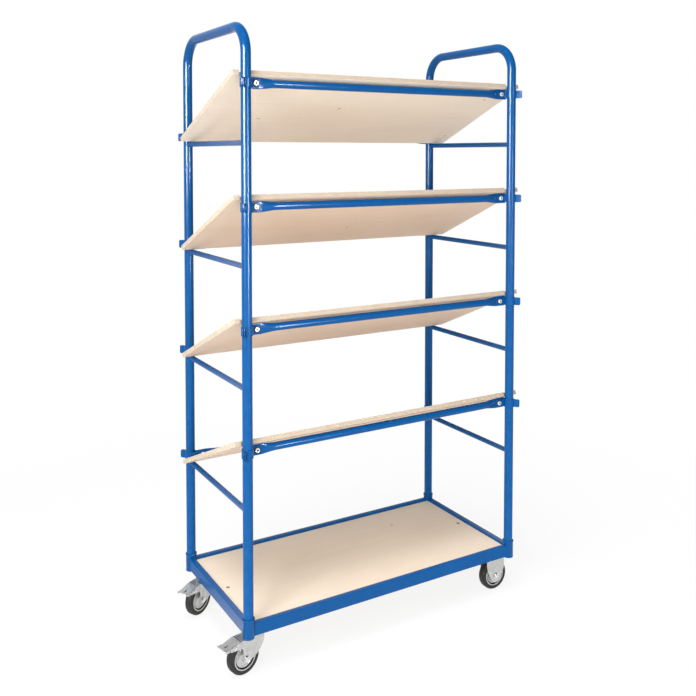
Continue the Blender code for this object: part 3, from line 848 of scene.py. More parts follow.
@dataclass(frozen=True)
class Finish:
    """A procedural finish that drifts between two tones."""

    look: Look
    colour: Colour
    second: Colour
    roughness: Pair
    metallic: float = 0.0
    shine: float = 0.5

    def build(self, effects: Effects) -> bpy.types.Material:
        """Make the material.

        Args:
            effects: Node groups to place in it.

        Returns:
            The material.
        """
        material = bpy.data.materials.new(self.look.value[0])
        material.use_nodes = True
        desk = NodeDesk(material.node_tree)
        shader = material.node_tree.nodes["Principled BSDF"]
        desk.feed(shader, Metallic=self.metallic, Specular_IOR_Level=self.shine)
        place = desk.add("ShaderNodeTexCoord").outputs["Object"]
        self.dress(Canvas(desk, shader, place, effects))
        return material

    def dress(self, canvas: Canvas) -> None:
        """Feed the shader. Each kind of finish has its own way."""
        raise NotImplementedError

    def tones(self, canvas: Canvas, spread: float) -> Any:
        """Slow drift between the two tones.

        Args:
            canvas: Material in the making.
            spread: How often the tone changes in a metre.

        Returns:
            The sockets Colour and Amount.
        """
        tones = {"First": (*self.colour, 1.0), "Second": (*self.second, 1.0)}
        drift = canvas.effects.drift
        return canvas.desk.effect(drift, Place=canvas.place, Spread=spread, **tones)

    def gloss(self, canvas: Canvas, share: Any) -> Any:
        """Roughness that follows a share."""
        return canvas.desk.span(share, 0.0, 1.0, *self.roughness)


@dataclass(frozen=True)
class PlatedSteel(Finish):
    """Zinc-plated steel, mottled, with brighter rubbed edges and a fine drawn grain."""

    rubbed: Colour = (0.86, 0.87, 0.87)
    spread: float = 55.0
    wear_grain: float = 150.0
    wear_amount: float = 0.8
    grain: float = 900.0
    depth: float = 0.00004

    def dress(self, canvas: Canvas) -> None:
        """Tones with rubbed edges, uneven gloss and a relief.

        Args:
            canvas: Material in the making.
        """
        desk, worn = canvas.desk, canvas.effects.wear
        tones = self.tones(canvas, self.spread)
        wear = desk.effect(worn, Place=canvas.place, Grain=self.wear_grain, Amount=self.wear_amount)
        colour = desk.blend(wear["Mask"], tones["Colour"], self.rubbed)
        desk.feed(canvas.shader, Base_Color=colour, Roughness=self.gloss(canvas, tones["Amount"]))
        canvas.relief(self.grain, self.depth)


@dataclass(frozen=True)
class CartPaint(PlatedSteel):
    """Smooth gloss paint on steel with a faint orange peel, rubbed paler at its edges."""

    shine: float = 0.15
    rubbed: Colour = (0.02, 0.14, 0.40)
    spread: float = 6.0
    wear_grain: float = 60.0
    wear_amount: float = 0.5
    grain: float = 420.0
    depth: float = 0.000006


@dataclass(frozen=True)
class WheelSteel(PlatedSteel):
    """Plated wheel centre with painted shade, a dark ring, in the groove behind its rim."""

    groove: Pair = (0.0322, 0.0365)
    groove_shade: Colour = (0.012, 0.012, 0.012)
    groove_shade_edge: float = 0.0002

    def dress(self, canvas: Canvas) -> None:
        """Plating as on the other steel, with painted shade between two radii.

        Args:
            canvas: Material in the making.
        """
        super().dress(canvas)
        desk, shader = canvas.desk, canvas.shader
        across = desk.add("ShaderNodeMapping")
        desk.feed(across, Vector=canvas.place, Scale=(1.0, 0.0, 1.0))
        length = desk.add("ShaderNodeVectorMath", operation="LENGTH")
        desk.feed(length, Vector=across.outputs[0])
        middle, half = sum(self.groove) / 2, (self.groove[1] - self.groove[0]) / 2
        # Painted shade: between these radii the centre turns dark and non-metallic, standing in for shade in
        # the groove.
        away = desk.math("ABSOLUTE", desk.math("SUBTRACT", length.outputs["Value"], middle))
        in_groove_shade = desk.span(away, half - self.groove_shade_edge, half + self.groove_shade_edge, 1.0, 0.0)
        plated = shader.inputs["Base Color"].links[0].from_socket
        desk.feed(shader, Base_Color=desk.blend(in_groove_shade, plated, self.groove_shade))
        desk.feed(shader, Metallic=desk.span(in_groove_shade, 0.0, 1.0, self.metallic, 0.0))


@dataclass(frozen=True)
class PlywoodFace(Finish):
    """Sanded birch veneer."""

    shine: float = 0.15
    knot: Colour = (0.30, 0.17, 0.09)
    pore: Colour = (0.52, 0.40, 0.28)
    spread: float = 2.3
    streak_share: float = 0.75
    knot_share: float = 0.8
    band_share: float = 0.45
    pore_share: float = 0.35
    depth: float = 0.0001

    def dress(self, canvas: Canvas) -> None:
        """Streaks, bands, pores and pin knots, with a fine bump.

        Args:
            canvas: Material in the making.
        """
        desk, veneer = canvas.desk, canvas.effects.figure
        figure = desk.effect(veneer, Place=canvas.place, Streaks=self.streak_share, Knots=self.knot_share)
        tones = self.tones(canvas, self.spread)
        streaked = desk.blend(figure["Figure"], tones["Colour"], self.second)
        broad = desk.blend(desk.math("MULTIPLY", figure["Bands"], self.band_share), streaked, self.colour)
        pored = desk.blend(desk.math("MULTIPLY", figure["Pores"], self.pore_share), broad, self.pore)
        colour = desk.blend(figure["Knot"], pored, self.knot)
        desk.feed(canvas.shader, Base_Color=colour, Roughness=self.gloss(canvas, figure["Figure"]))
        canvas.bump(desk.math("SUBTRACT", figure["Figure"], figure["Pores"]), self.depth, 0.5)


@dataclass(frozen=True)
class PlywoodEdge(Finish):
    """Sawn edge of plywood with its plies."""

    shine: float = 0.15
    ply: float = 0.00136
    glue: Colour = (0.22, 0.13, 0.08)
    spread: float = 40.0
    wander: float = 0.25
    drift_share: float = 0.35
    glue_share: float = 0.55
    depth: float = 0.00015

    def dress(self, canvas: Canvas) -> None:
        """Plies of alternate grain with dark glue lines.

        Args:
            canvas: Material in the making.
        """
        desk = canvas.desk
        parts = desk.add("ShaderNodeSeparateXYZ")
        desk.feed(parts, Vector=canvas.place)
        figure = desk.effect(canvas.effects.figure, Place=canvas.place, Streaks=1.0, Knots=0.0)
        wander = desk.math("MULTIPLY", figure["Bands"], self.wander)
        count = desk.math("ADD", desk.math("DIVIDE", parts.outputs["Z"], 2 * self.ply), wander)
        turn = desk.math("FRACT", count)
        across = desk.span(desk.math("PINGPONG", turn, 0.5), 0.21, 0.29, 0.0, 1.0)
        plies = desk.blend(across, self.colour, self.second)
        mixed = desk.blend(self.drift_share, plies, self.tones(canvas, self.spread)["Colour"])
        from_line = desk.math("ABSOLUTE", desk.math("SUBTRACT", across, 0.5))
        line = desk.span(from_line, 0.2, 0.5, self.glue_share, 0.0)
        colour = desk.blend(line, mixed, self.glue)
        desk.feed(canvas.shader, Base_Color=colour, Roughness=self.gloss(canvas, figure["Figure"]))
        canvas.bump(desk.math("ADD", across, figure["Figure"]), self.depth, 0.5)


@dataclass(frozen=True)
class TyreRubber(Finish):
    """Solid rubber with a dusty bloom."""

    spread: float = 34.0
    grain: float = 1400.0
    depth: float = 0.00012

    def dress(self, canvas: Canvas) -> None:
        """Dusty drift and a fine pebble.

        Args:
            canvas: Material in the making.
        """
        tones = self.tones(canvas, self.spread)
        rough = self.gloss(canvas, tones["Amount"])
        canvas.desk.feed(canvas.shader, Base_Color=tones["Colour"], Roughness=rough)
        canvas.relief(self.grain, self.depth)


FINISHES: tuple[Finish, ...] = (
    CartPaint(Look.PAINT, (0.0016, 0.070, 0.240), (0.0020, 0.078, 0.260), (0.16, 0.22)),
    PlywoodFace(Look.PLY_FACE, (0.84, 0.740, 0.620), (0.765, 0.650, 0.525), (0.48, 0.62)),
    # Levels 1 to 3: a darker, warmer copy of the face veneer, painted shade on the lower shelves.
    PlywoodFace(Look.PLY_WARM, (0.775, 0.615, 0.480), (0.700, 0.535, 0.400), (0.48, 0.62)),
    PlywoodEdge(Look.PLY_END, (0.72, 0.635, 0.515), (0.54, 0.435, 0.32), (0.6, 0.75)),
    # Long edges: a darker copy of the end finish, painted shade on the front and rear edges.
    PlywoodEdge(Look.PLY_EDGE, (0.55, 0.465, 0.37), (0.42, 0.325, 0.235), (0.6, 0.75)),
    PlatedSteel(Look.ZINC, (0.46, 0.465, 0.455), (0.60, 0.605, 0.59), (0.26, 0.38), 0.8),
    PlatedSteel(Look.FASTENER, (0.74, 0.75, 0.76), (0.84, 0.84, 0.83), (0.16, 0.26), 1.0, spread=160.0),
    # Nuts: near-white and only slightly metallic, a painted highlight standing in for the sheen of plated
    # nuts.
    PlatedSteel(Look.NUT, (0.80, 0.81, 0.82), (0.90, 0.90, 0.89), (0.30, 0.42), 0.3, spread=160.0),
    # Near-black finish: the deck screws, and painted shade at the clamp washers, bolt ends and pedal slots.
    PlatedSteel(
        Look.DARK,
        (0.018, 0.018, 0.022),
        (0.045, 0.042, 0.042),
        (0.4, 0.55),
        shine=0.05,
        rubbed=(0.05, 0.05, 0.05),
    ),
    WheelSteel(Look.WHEEL, (0.47, 0.48, 0.475), (0.60, 0.605, 0.595), (0.30, 0.42), 0.6),
    TyreRubber(Look.TYRE, (0.007, 0.007, 0.007), (0.015, 0.015, 0.0145), (0.50, 0.66)),
)


@dataclass
class Workshop:
    """Makes pieces, dresses them and puts them on their bodies."""

    sizes: CartSizes
    middle: Vector
    materials: dict[Look, bpy.types.Material]
    bevel_segments: int = 3
    bevel_angle: float = 40.0
    sharp_angle: float = 38.0
    made: int = 0

    def coat(self, mesh: Mesh, *looks: Look) -> None:
        """Give a mesh its materials, in order."""
        for look in looks:
            mesh.materials.append(self.materials[look])

    def add(
        self,
        name: str,
        mesh: Mesh,
        look: Look,
        place: Matrix,
        body: str = "frame",
        stands_for: Sequence[str] = (),
        bevel: float = 0.0,
    ) -> None:
        """Put a piece in the scene.

        Args:
            name: Name of the piece.
            mesh: Its mesh data.
            look: Its finish.
            place: Its place from the middle of the posts, on the floor.
            body: Body that carries it.
            stands_for: Nodes that it replaces.
            bevel: Width of its rounded edges.
        """
        piece = bpy.data.objects.new(name, mesh)
        bpy.context.scene.collection.objects.link(piece)
        if not mesh.materials:
            self.coat(mesh, look)
        mesh.shade_smooth()
        if bevel:
            modifier = piece.modifiers.new("Edges", "BEVEL")
            modifier.width = bevel
            modifier.segments = self.bevel_segments
            modifier.limit_method = "ANGLE"
            modifier.angle_limit = math.radians(self.bevel_angle)
            modifier.harden_normals = True
        else:
            mesh.set_sharp_from_angle(angle=math.radians(self.sharp_angle))
        piece.matrix_world = Matrix.Translation(self.middle) @ place
        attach(piece, body)
        if stands_for:
            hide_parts(*stands_for)
        self.made += 1
        LOG.info("%s: %d faces, rides on %s", name, len(mesh.polygons), body)


def at(x: float = 0.0, y: float = 0.0, z: float = 0.0) -> Matrix:
    """Place given by a move alone."""
    return Matrix.Translation((x, y, z))


def welded_bar(
    outline: Callable[[float], list[Point2]],
    reach: Callable[[float], float],
    bead: float,
    set_point: Placing,
) -> Shape:
    """Bar between two round posts, with a weld bead where it meets each of them.

    Args:
        outline: Outline of the bar, grown by a given amount.
        reach: How far the bar reaches at an offset from its middle line.
        bead: Size of the weld bead.
        set_point: Puts a point, given along the bar, across it and up, in its place.

    Returns:
        The shape.
    """
    shares = ((0.0, 1.0), (0.25, 0.97), (0.5, 0.8), (0.8, 0.5), (1.2, 0.2), (1.7, 0.0))
    rings = []
    for end, row in ((-1, shares), (1, shares[::-1])):
        for back, grown in row:
            base = outline(0.0)
            ring = []
            for i, (u, v) in enumerate(outline(bead)):
                share = grown * (1.0 + 0.14 * math.sin(i * 1.9 + end) + 0.08 * math.sin(i * 4.3))
                u = base[i][0] + (u - base[i][0]) * share
                v = base[i][1] + (v - base[i][1]) * share
                ring.append(set_point(end * (reach(u) - back * bead), u, v))
            rings.append(ring)
    return lofted(rings)


@dataclass
class Uprights:
    """Handle frames with their rungs."""

    shop: Workshop
    bend_radius: float = 0.088
    sides: int = 40
    rung_sides: int = 32
    bend_steps: int = 18
    weld_bead: float = 0.0022

    def build(self) -> None:
        """Make both ends."""
        frame, rung = self.frame_mesh(), self.rung_mesh()
        sizes = self.shop.sizes
        for end in End:
            side = end.name.lower()
            x = end.value * sizes.half_x
            node = f"{side}_handle_frame"
            self.shop.add(f"{side}_handle_tube", frame, Look.PAINT, at(x), stands_for=[node])
            for level in sizes.levels:
                place = at(x, 0.0, sizes.rung_height(level))
                name = f"{side}_rung_bar_{level}"
                self.shop.add(name, rung, Look.PAINT, place, stands_for=[f"{side}_rung_{level}"])

    def frame_mesh(self) -> Mesh:
        """One bent tube: two posts and the push handle over them.

        Returns:
            The mesh.
        """
        sizes = self.shop.sizes
        foot = sizes.pad_top + sizes.gap
        centre_y = sizes.half_y - self.bend_radius
        centre_z = sizes.handle_top - sizes.post_radius - self.bend_radius
        path: list[tuple[Point2, float]] = [((-sizes.half_y, foot), 180.0)]
        for sign, start in ((-1, 180.0), (1, 90.0)):
            for i in range(self.bend_steps + 1):
                angle = start - 90.0 * i / self.bend_steps
                point = arc((sign * centre_y, centre_z), self.bend_radius, angle, angle, 1)[0]
                path.append((point, angle))
        path.append(((sizes.half_y, foot), 0.0))
        rings = []
        for (y, z), angle in path:
            out_y, out_z = math.cos(math.radians(angle)), math.sin(math.radians(angle))
            section = circle(sizes.post_radius, self.sides)
            rings.append([(u, y + v * out_y, z + v * out_z) for u, v in section])
        return as_mesh(lofted(rings), "handle_tube")

    def rung_mesh(self) -> Mesh:
        """Round rung, coped to the posts and welded.

        Returns:
            The mesh.
        """
        sizes = self.shop.sizes
        seat = sizes.post_radius + sizes.gap

        def reach(offset: float) -> float:
            """Distance from the middle to the post."""
            return sizes.half_y - math.sqrt(seat**2 - offset**2)

        bar = welded_bar(
            lambda grow: circle(sizes.rung_diameter / 2 + grow, self.rung_sides),
            reach,
            self.weld_bead,
            lambda along, u, v: (u, along, v),
        )
        return as_mesh(bar, "rung_bar")


@dataclass
class CrossTubes:
    """Cross tubes with crushed ends."""

    shop: Workshop
    flat_start: float = 0.012
    flat_length: float = 0.038
    flare_length: float = 0.052
    flare_steps: int = 16
    vent_diameter: float = 0.008
    vent_spacing: float = 0.023
    vent_sides: int = 20
    sides: int = 48

    def build(self) -> None:
        """Make the front and rear tubes of every level."""
        sizes = self.shop.sizes
        tube = self.tube_mesh()
        rises = {Row.FRONT: sizes.front_tube_rise, Row.REAR: sizes.rear_tube_rise}
        for level in sizes.levels:
            for row, rise in rises.items():
                side = row.name.lower()
                y = -row.value * (sizes.half_y - sizes.tube_setback)
                place = at(0.0, y, sizes.rung_height(level) + rise)
                name = f"{side}_cross_tube_{level}"
                self.shop.add(name, tube, Look.PAINT, place, stands_for=[f"{side}_tube_{level}"])

    def section(self, share: float) -> list[Point2]:
        """Section between crushed flat and round.

        Args:
            share: 0 for the flat end and 1 for the round tube.

        Returns:
            Points as Y and Z.
        """
        sizes = self.shop.sizes
        radius = sizes.tube_diameter / 2
        half, tall = sizes.flat_thickness / 2, sizes.flat_height / 2
        quarter = tall - half + math.pi * half / 2
        points = []
        for i in range(self.sides):
            turn = i / self.sides * 4
            part, quadrant = turn % 1, int(turn)
            length = (1 - part if quadrant in (1, 3) else part) * quarter
            bend = max(0.0, length - tall + half) / half
            flat_y = half * math.cos(bend) * (1 if quadrant in (0, 3) else -1)
            flat_z = (min(length, tall - half) + half * math.sin(bend)) * (1 if quadrant in (0, 1) else -1)
            y, z = radius * math.cos(math.pi / 2 * turn), radius * math.sin(math.pi / 2 * turn)
            points.append((flat_y + (y - flat_y) * share, flat_z + (z - flat_z) * share))
        return points

    def tube_mesh(self) -> Mesh:
        """Tube with both ends crushed flat and an open hole in the right one.

        Returns:
            The mesh.
        """
        half_x = self.shop.sizes.half_x
        flat_end = half_x - self.flat_start - self.flat_length
        stations = [(half_x - self.flat_start, 0.0)]
        for i in range(self.flare_steps + 1):
            t = i / self.flare_steps
            stations.append((flat_end - self.flare_length * t, 0.6 * t + 0.4 * smooth_share(t)))
        rings = []
        for side, row in ((-1, stations), (1, stations[::-1])):
            for reach, share in row:
                rings.append([(side * reach, y, z) for y, z in self.section(share)])
        vent = half_x - self.shop.sizes.bolt_place - self.vent_spacing
        outline = circle(self.vent_diameter / 2, self.vent_sides, (vent, 0.0))
        hole = crosswise(outline, -CUT_REACH, CUT_REACH)
        return as_mesh(machined(lofted(rings), [(Cut.AWAY, hole)]), "cross_tube")


@dataclass
class StrapClamps:
    """Strap clamps that hold the cross tubes to the posts, with their bolts."""

    shop: Workshop
    height: float = 0.028
    strap: float = 0.0025
    ear_reach: float = 0.052
    nose_reach: float = 0.038
    nose_slit: float = 0.002
    nose_angle: float = 40.0
    fold_radius: float = 0.0032
    shoulder_radius: float = 0.028
    corner_radius: float = 0.005
    nut_across: float = 0.013
    nut_height: float = 0.0065
    nut_turn: float = 18.0
    shadow_washer_radius: float = 0.0095
    shadow_washer_thickness: float = 0.0014
    shadow_washer_rim: float = 0.0004
    bolt_radius: float = 0.0036
    bolt_tip: float = 0.0012
    head_radius: float = 0.0085
    head_height: float = 0.004
    ear_angle: float = 10.0
    edge_round: float = 0.0005

    def build(self) -> None:
        """Make a clamp and its bolt at every post of every level."""
        sizes = self.shop.sizes
        for row in Row:
            rise = sizes.front_tube_rise if row is Row.FRONT else sizes.rear_tube_rise
            for end in End:
                flip = (-end.value, row.value)
                strap = as_mesh(flipped(self.strap_shape(), *flip), "strap")
                bolt = as_mesh(flipped(self.bolt_shape(), *flip), "strap_bolt")
                # The bolt's second finish is near-black painted shade for its washer and bolt end.
                self.shop.coat(bolt, Look.NUT, Look.DARK)
                corner = f"{row.name.lower()}_{end.name.lower()}"
                for level in sizes.levels:
                    height = sizes.rung_height(level) + rise
                    place = at(end.value * sizes.half_x, -row.value * sizes.half_y, height)
                    name, node = f"{corner}_strap_{level}", f"{corner}_clamp_{level}"
                    self.shop.add(name, strap, Look.PAINT, place, stands_for=[node], bevel=self.edge_round)
                    self.shop.add(f"{corner}_strap_bolt_{level}", bolt, Look.NUT, place)

    @property
    def near_ear(self) -> float:
        """Place of the near ear's middle, into the cart from the post axis."""
        sizes = self.shop.sizes
        return sizes.tube_setback - sizes.flat_thickness / 2 - sizes.gap - self.strap / 2

    @property
    def far_ear(self) -> float:
        """Place of the far ear's middle, into the cart from the post axis."""
        return 2 * self.shop.sizes.tube_setback - self.near_ear

    @property
    def wrap_radius(self) -> float:
        """Radius of the strap's middle round the post."""
        return self.shop.sizes.post_radius + self.shop.sizes.gap + self.strap / 2

    def nose(self, side: int) -> tuple[float, list[Point2]]:
        """Outward turn and tongue of one half of the strap.

        Args:
            side: 1 for the near half and -1 for the far half.

        Returns:
            The angle at which the half leaves the post, and the points after it.
        """
        wrap = self.wrap_radius
        direction = 270.0 - self.nose_angle
        offset = self.nose_slit / 2 + self.strap / 2
        swing = math.degrees(math.asin((offset + self.fold_radius) / (wrap + self.fold_radius)))
        leave = direction + side * swing
        centre = arc((0.0, 0.0), wrap + self.fold_radius, leave, leave, 1)[0]
        turn = arc(centre, self.fold_radius, leave + 180.0, direction + 180.0 + side * 90.0, 6)
        out = arc((0.0, 0.0), 1.0, direction, direction, 1)[0]
        tip_x = out[0] * self.nose_reach - side * out[1] * offset
        tip_y = out[1] * self.nose_reach + side * out[0] * offset
        return leave, [*turn, (tip_x, tip_y)]

    def strap_shape(self) -> Shape:
        """Both halves, for the front left post: X points inboard and Y into the cart.

        Returns:
            The shape.
        """
        wrap, start = self.wrap_radius, self.ear_angle
        fold = 1.25 * self.fold_radius
        meet = arc((0.0, 0.0), wrap, start, start, 1)[0]
        bend_end = self.near_ear - fold - fold * math.sin(math.radians(start))
        bend_x = meet[0] - (bend_end - meet[1]) * math.tan(math.radians(start))
        bend_centre = (bend_x + fold * math.cos(math.radians(start)), self.near_ear - fold)
        leave, tongue = self.nose(1)
        near = [(self.ear_reach, self.near_ear)]
        near += arc(bend_centre, fold, 90.0, 180.0 + start, 7)
        near += arc((0.0, 0.0), wrap, start, leave - 360.0, 18)
        near += tongue[1:]
        big, rise = self.shoulder_radius, self.far_ear - wrap
        centre_x = math.sqrt(rise * (2 * big - wrap - self.far_ear))
        centre = (centre_x, self.far_ear - big)
        touch = math.degrees(math.atan2(-centre[1], -centre[0]))
        leave, tongue = self.nose(-1)
        far = [(self.ear_reach, self.far_ear)]
        far += arc(centre, big, 90.0, touch, 7)
        far += arc((0.0, 0.0), wrap, touch, leave, 8)[1:]
        far += tongue[1:]
        half = self.height / 2
        corners = (self.corner_radius, self.corner_radius)
        return gathered(
            strip(path, self.strap, lambda _: half, corners, lambda x, y, across: (x, y, across))
            for path in (near, far)
        )

    def bolt_shape(self) -> Shape:
        """Nut on a dark washer that is a painted contact shadow, with a dark bolt end that is painted shade
        in the nut's hole, on the near ear; round head on the far ear.

        Returns:
            The shape.
        """
        near = self.near_ear - self.strap / 2
        far = self.far_ear + self.strap / 2
        nut_end = near - self.nut_height
        dome = [(self.head_radius, far), (self.head_radius, far + self.head_height * 0.25)]
        for share in (0.9, 0.72, 0.45, 0.15):
            rise = self.head_height * (0.25 + 0.75 * math.sqrt(1 - share**2))
            dome.append((self.head_radius * share, far + rise))
        edge, rim, seat = self.shadow_washer_radius, self.shadow_washer_rim, near - self.shadow_washer_thickness
        disc = [(edge, near), (edge, seat + rim), (edge - rim, seat)]
        nut = hex_head(self.nut_across, seat, nut_end, Axis.Y, self.nut_turn)
        bright = [nut, turned(dome, 28, Axis.Y)]
        # Painted shade: the near-black washer stands for the contact shadow round the nut, and the bolt end
        # and shank stand for the shade in its hole.
        dark = [
            turned(disc, 32, Axis.Y),
            threaded(self.bolt_radius, nut_end + 0.0005, nut_end - self.bolt_tip),
            turned([(self.bolt_radius, near), (self.bolt_radius, far)], 20, Axis.Y),
        ]
        for face in (face for shape in dark for face in shape.faces):
            face.material_index = 1
        return gathered(moved(shape, x=self.shop.sizes.bolt_place) for shape in bright + dark)


@dataclass
class Boards:
    """Plywood shelves and deck."""

    shop: Workshop
    shelf_thickness: float = 0.015
    end_overhang: float = 0.040
    front_reach: float = 0.013
    notch_clearance: float = 0.0025
    stop_clearance: float = 0.0012
    corner_round: float = 0.0015
    notch_mouth_round: float = 0.001
    notch_round: float = 0.004
    deck_clearance: float = 0.001
    edge_round: float = 0.0007
    screw_place: float = 0.488
    screw_radius: float = 0.0060
    screw_depth: float = 0.004
    slot_depth: float = 0.0012
    grain_starts: tuple[float, ...] = (0.31, 1.73, -0.85, 2.9)
    # Levels 1 to 3 take the darker face copy, which is painted shade; level 4 takes the plain face.
    veneer_shades: tuple[Look, ...] = (Look.PLY_WARM, Look.PLY_WARM, Look.PLY_WARM, Look.PLY_FACE)

    def build(self) -> None:
        """Make the four shelves and the deck with its screws."""
        self.build_shelves()
        self.build_deck()

    def slope(self) -> Pair:
        """Find how a shelf lies on its rungs and its front tube.

        Returns:
            The slope in radians and the place along Y of the lower rear edge.
        """
        sizes = self.shop.sizes
        front = -sizes.half_y + sizes.tube_setback + sizes.flat_thickness / 2
        rise = sizes.front_tube_rise + sizes.flat_height / 2 - sizes.rung_diameter / 2
        stop = sizes.half_y - sizes.tube_setback - sizes.tube_diameter / 2 - self.stop_clearance
        slope = 0.0
        rear = stop
        for _ in range(20):
            rear = stop - self.shelf_thickness * math.sin(slope)
            slope = math.atan2(rise, rear - front)
        return slope, rear

    def veneered(self, mesh: Mesh, veneer: Look) -> Mesh:
        """Give a board its face finish, its ends' finish, and a darker copy of the end finish on its long
        edges as painted shade.

        Args:
            mesh: Mesh of the board.
            veneer: Finish of its faces.

        Returns:
            The same mesh.
        """
        self.shop.coat(mesh, veneer, Look.PLY_END, Look.PLY_EDGE)
        for face in mesh.polygons:
            across = abs(face.normal.x) > 0.5
            face.material_index = 0 if abs(face.normal.z) > 0.5 else 1 if across else 2
        return mesh

    def build_shelves(self) -> None:
        """Boards that lie with their own Z square to the slope."""
        sizes = self.shop.sizes
        slope, rear = self.slope()
        front = -sizes.half_y + sizes.tube_setback - self.front_reach
        length = (rear - front) / math.cos(slope)
        half = sizes.half_x + self.end_overhang
        half_notch = sizes.post_radius + self.notch_clearance
        notch = -(rear - (-sizes.half_y + half_notch)) / math.cos(slope)
        corners: list[Point2] = [(half, -length), (half, 0.0), (-half, 0.0), (-half, -length)]
        radii = [self.corner_round] * 4
        for side in (-1, 1):
            near, far = side * sizes.half_x - half_notch, side * sizes.half_x + half_notch
            corners += [(near, -length), (near, notch), (far, notch), (far, -length)]
            radii += [self.notch_mouth_round, self.notch_round, self.notch_round, self.notch_mouth_round]
        outline = softened(corners, radii, 4)
        for level in sizes.levels:
            start = self.grain_starts[level - 1]
            shape = upright([(u - start, v) for u, v in outline], 0.0, self.shelf_thickness)
            veneer = self.veneer_shades[level - 1]
            mesh = self.veneered(as_mesh(shape, "shelf_plywood"), veneer)
            height = sizes.rung_height(level) + sizes.rung_diameter / 2 + sizes.gap
            place = at(start, rear, height) @ Matrix.Rotation(-slope, 4, "X")
            name = f"shelf_plywood_{level}"
            node = f"shelf_board_{level}"
            self.shop.add(name, mesh, veneer, place, stands_for=[node], bevel=self.edge_round)

    def build_deck(self) -> None:
        """Deck with cut corners and two countersunk screws."""
        sizes = self.shop.sizes
        margin = sizes.rail_width / 2 + self.deck_clearance
        half_x, half_y = sizes.half_x - margin, sizes.half_y - margin
        cut = math.sqrt(2.0) * (sizes.socket_radius + self.deck_clearance) - 2 * margin
        outline: list[Point2] = []
        for sx, sy in ((1, 1), (-1, 1), (-1, -1), (1, -1)):
            corner = [(sx * half_x, sy * (half_y - cut)), (sx * (half_x - cut), sy * half_y)]
            outline += corner if sx * sy > 0 else corner[::-1]
        shape = upright(outline, 0.0, sizes.deck_thickness)
        mesh = self.veneered(as_mesh(shape, "deck_plywood"), Look.PLY_FACE)
        place = at(0.0, 0.0, sizes.deck_top - sizes.deck_thickness)
        node, face = "deck_board", Look.PLY_FACE
        self.shop.add("deck_plywood", mesh, face, place, stands_for=[node], bevel=self.edge_round)
        screw = as_mesh(self.screw_shape(), "deck_screw")
        for end in End:
            spot = at(end.value * self.screw_place, 0.0, sizes.deck_top)
            self.shop.add(f"{end.name.lower()}_deck_screw", screw, Look.DARK, spot)

    def screw_shape(self) -> Shape:
        """Countersunk screw head with a cross recess, flush with the deck.

        Returns:
            The shape.
        """
        radius, rim = self.screw_radius, 0.0002
        profile = [(radius * 0.4, -self.screw_depth), (radius, -rim), (radius, rim), (radius * 0.8, 2 * rim)]
        arm, reach = radius * 0.16, radius * 0.55
        slots = []
        for x, y in ((reach, arm), (arm, reach)):
            slots.append((Cut.AWAY, block((-x, -y, -self.slot_depth), (x, y, self.slot_depth))))
        return machined(turned(profile, 28), slots)


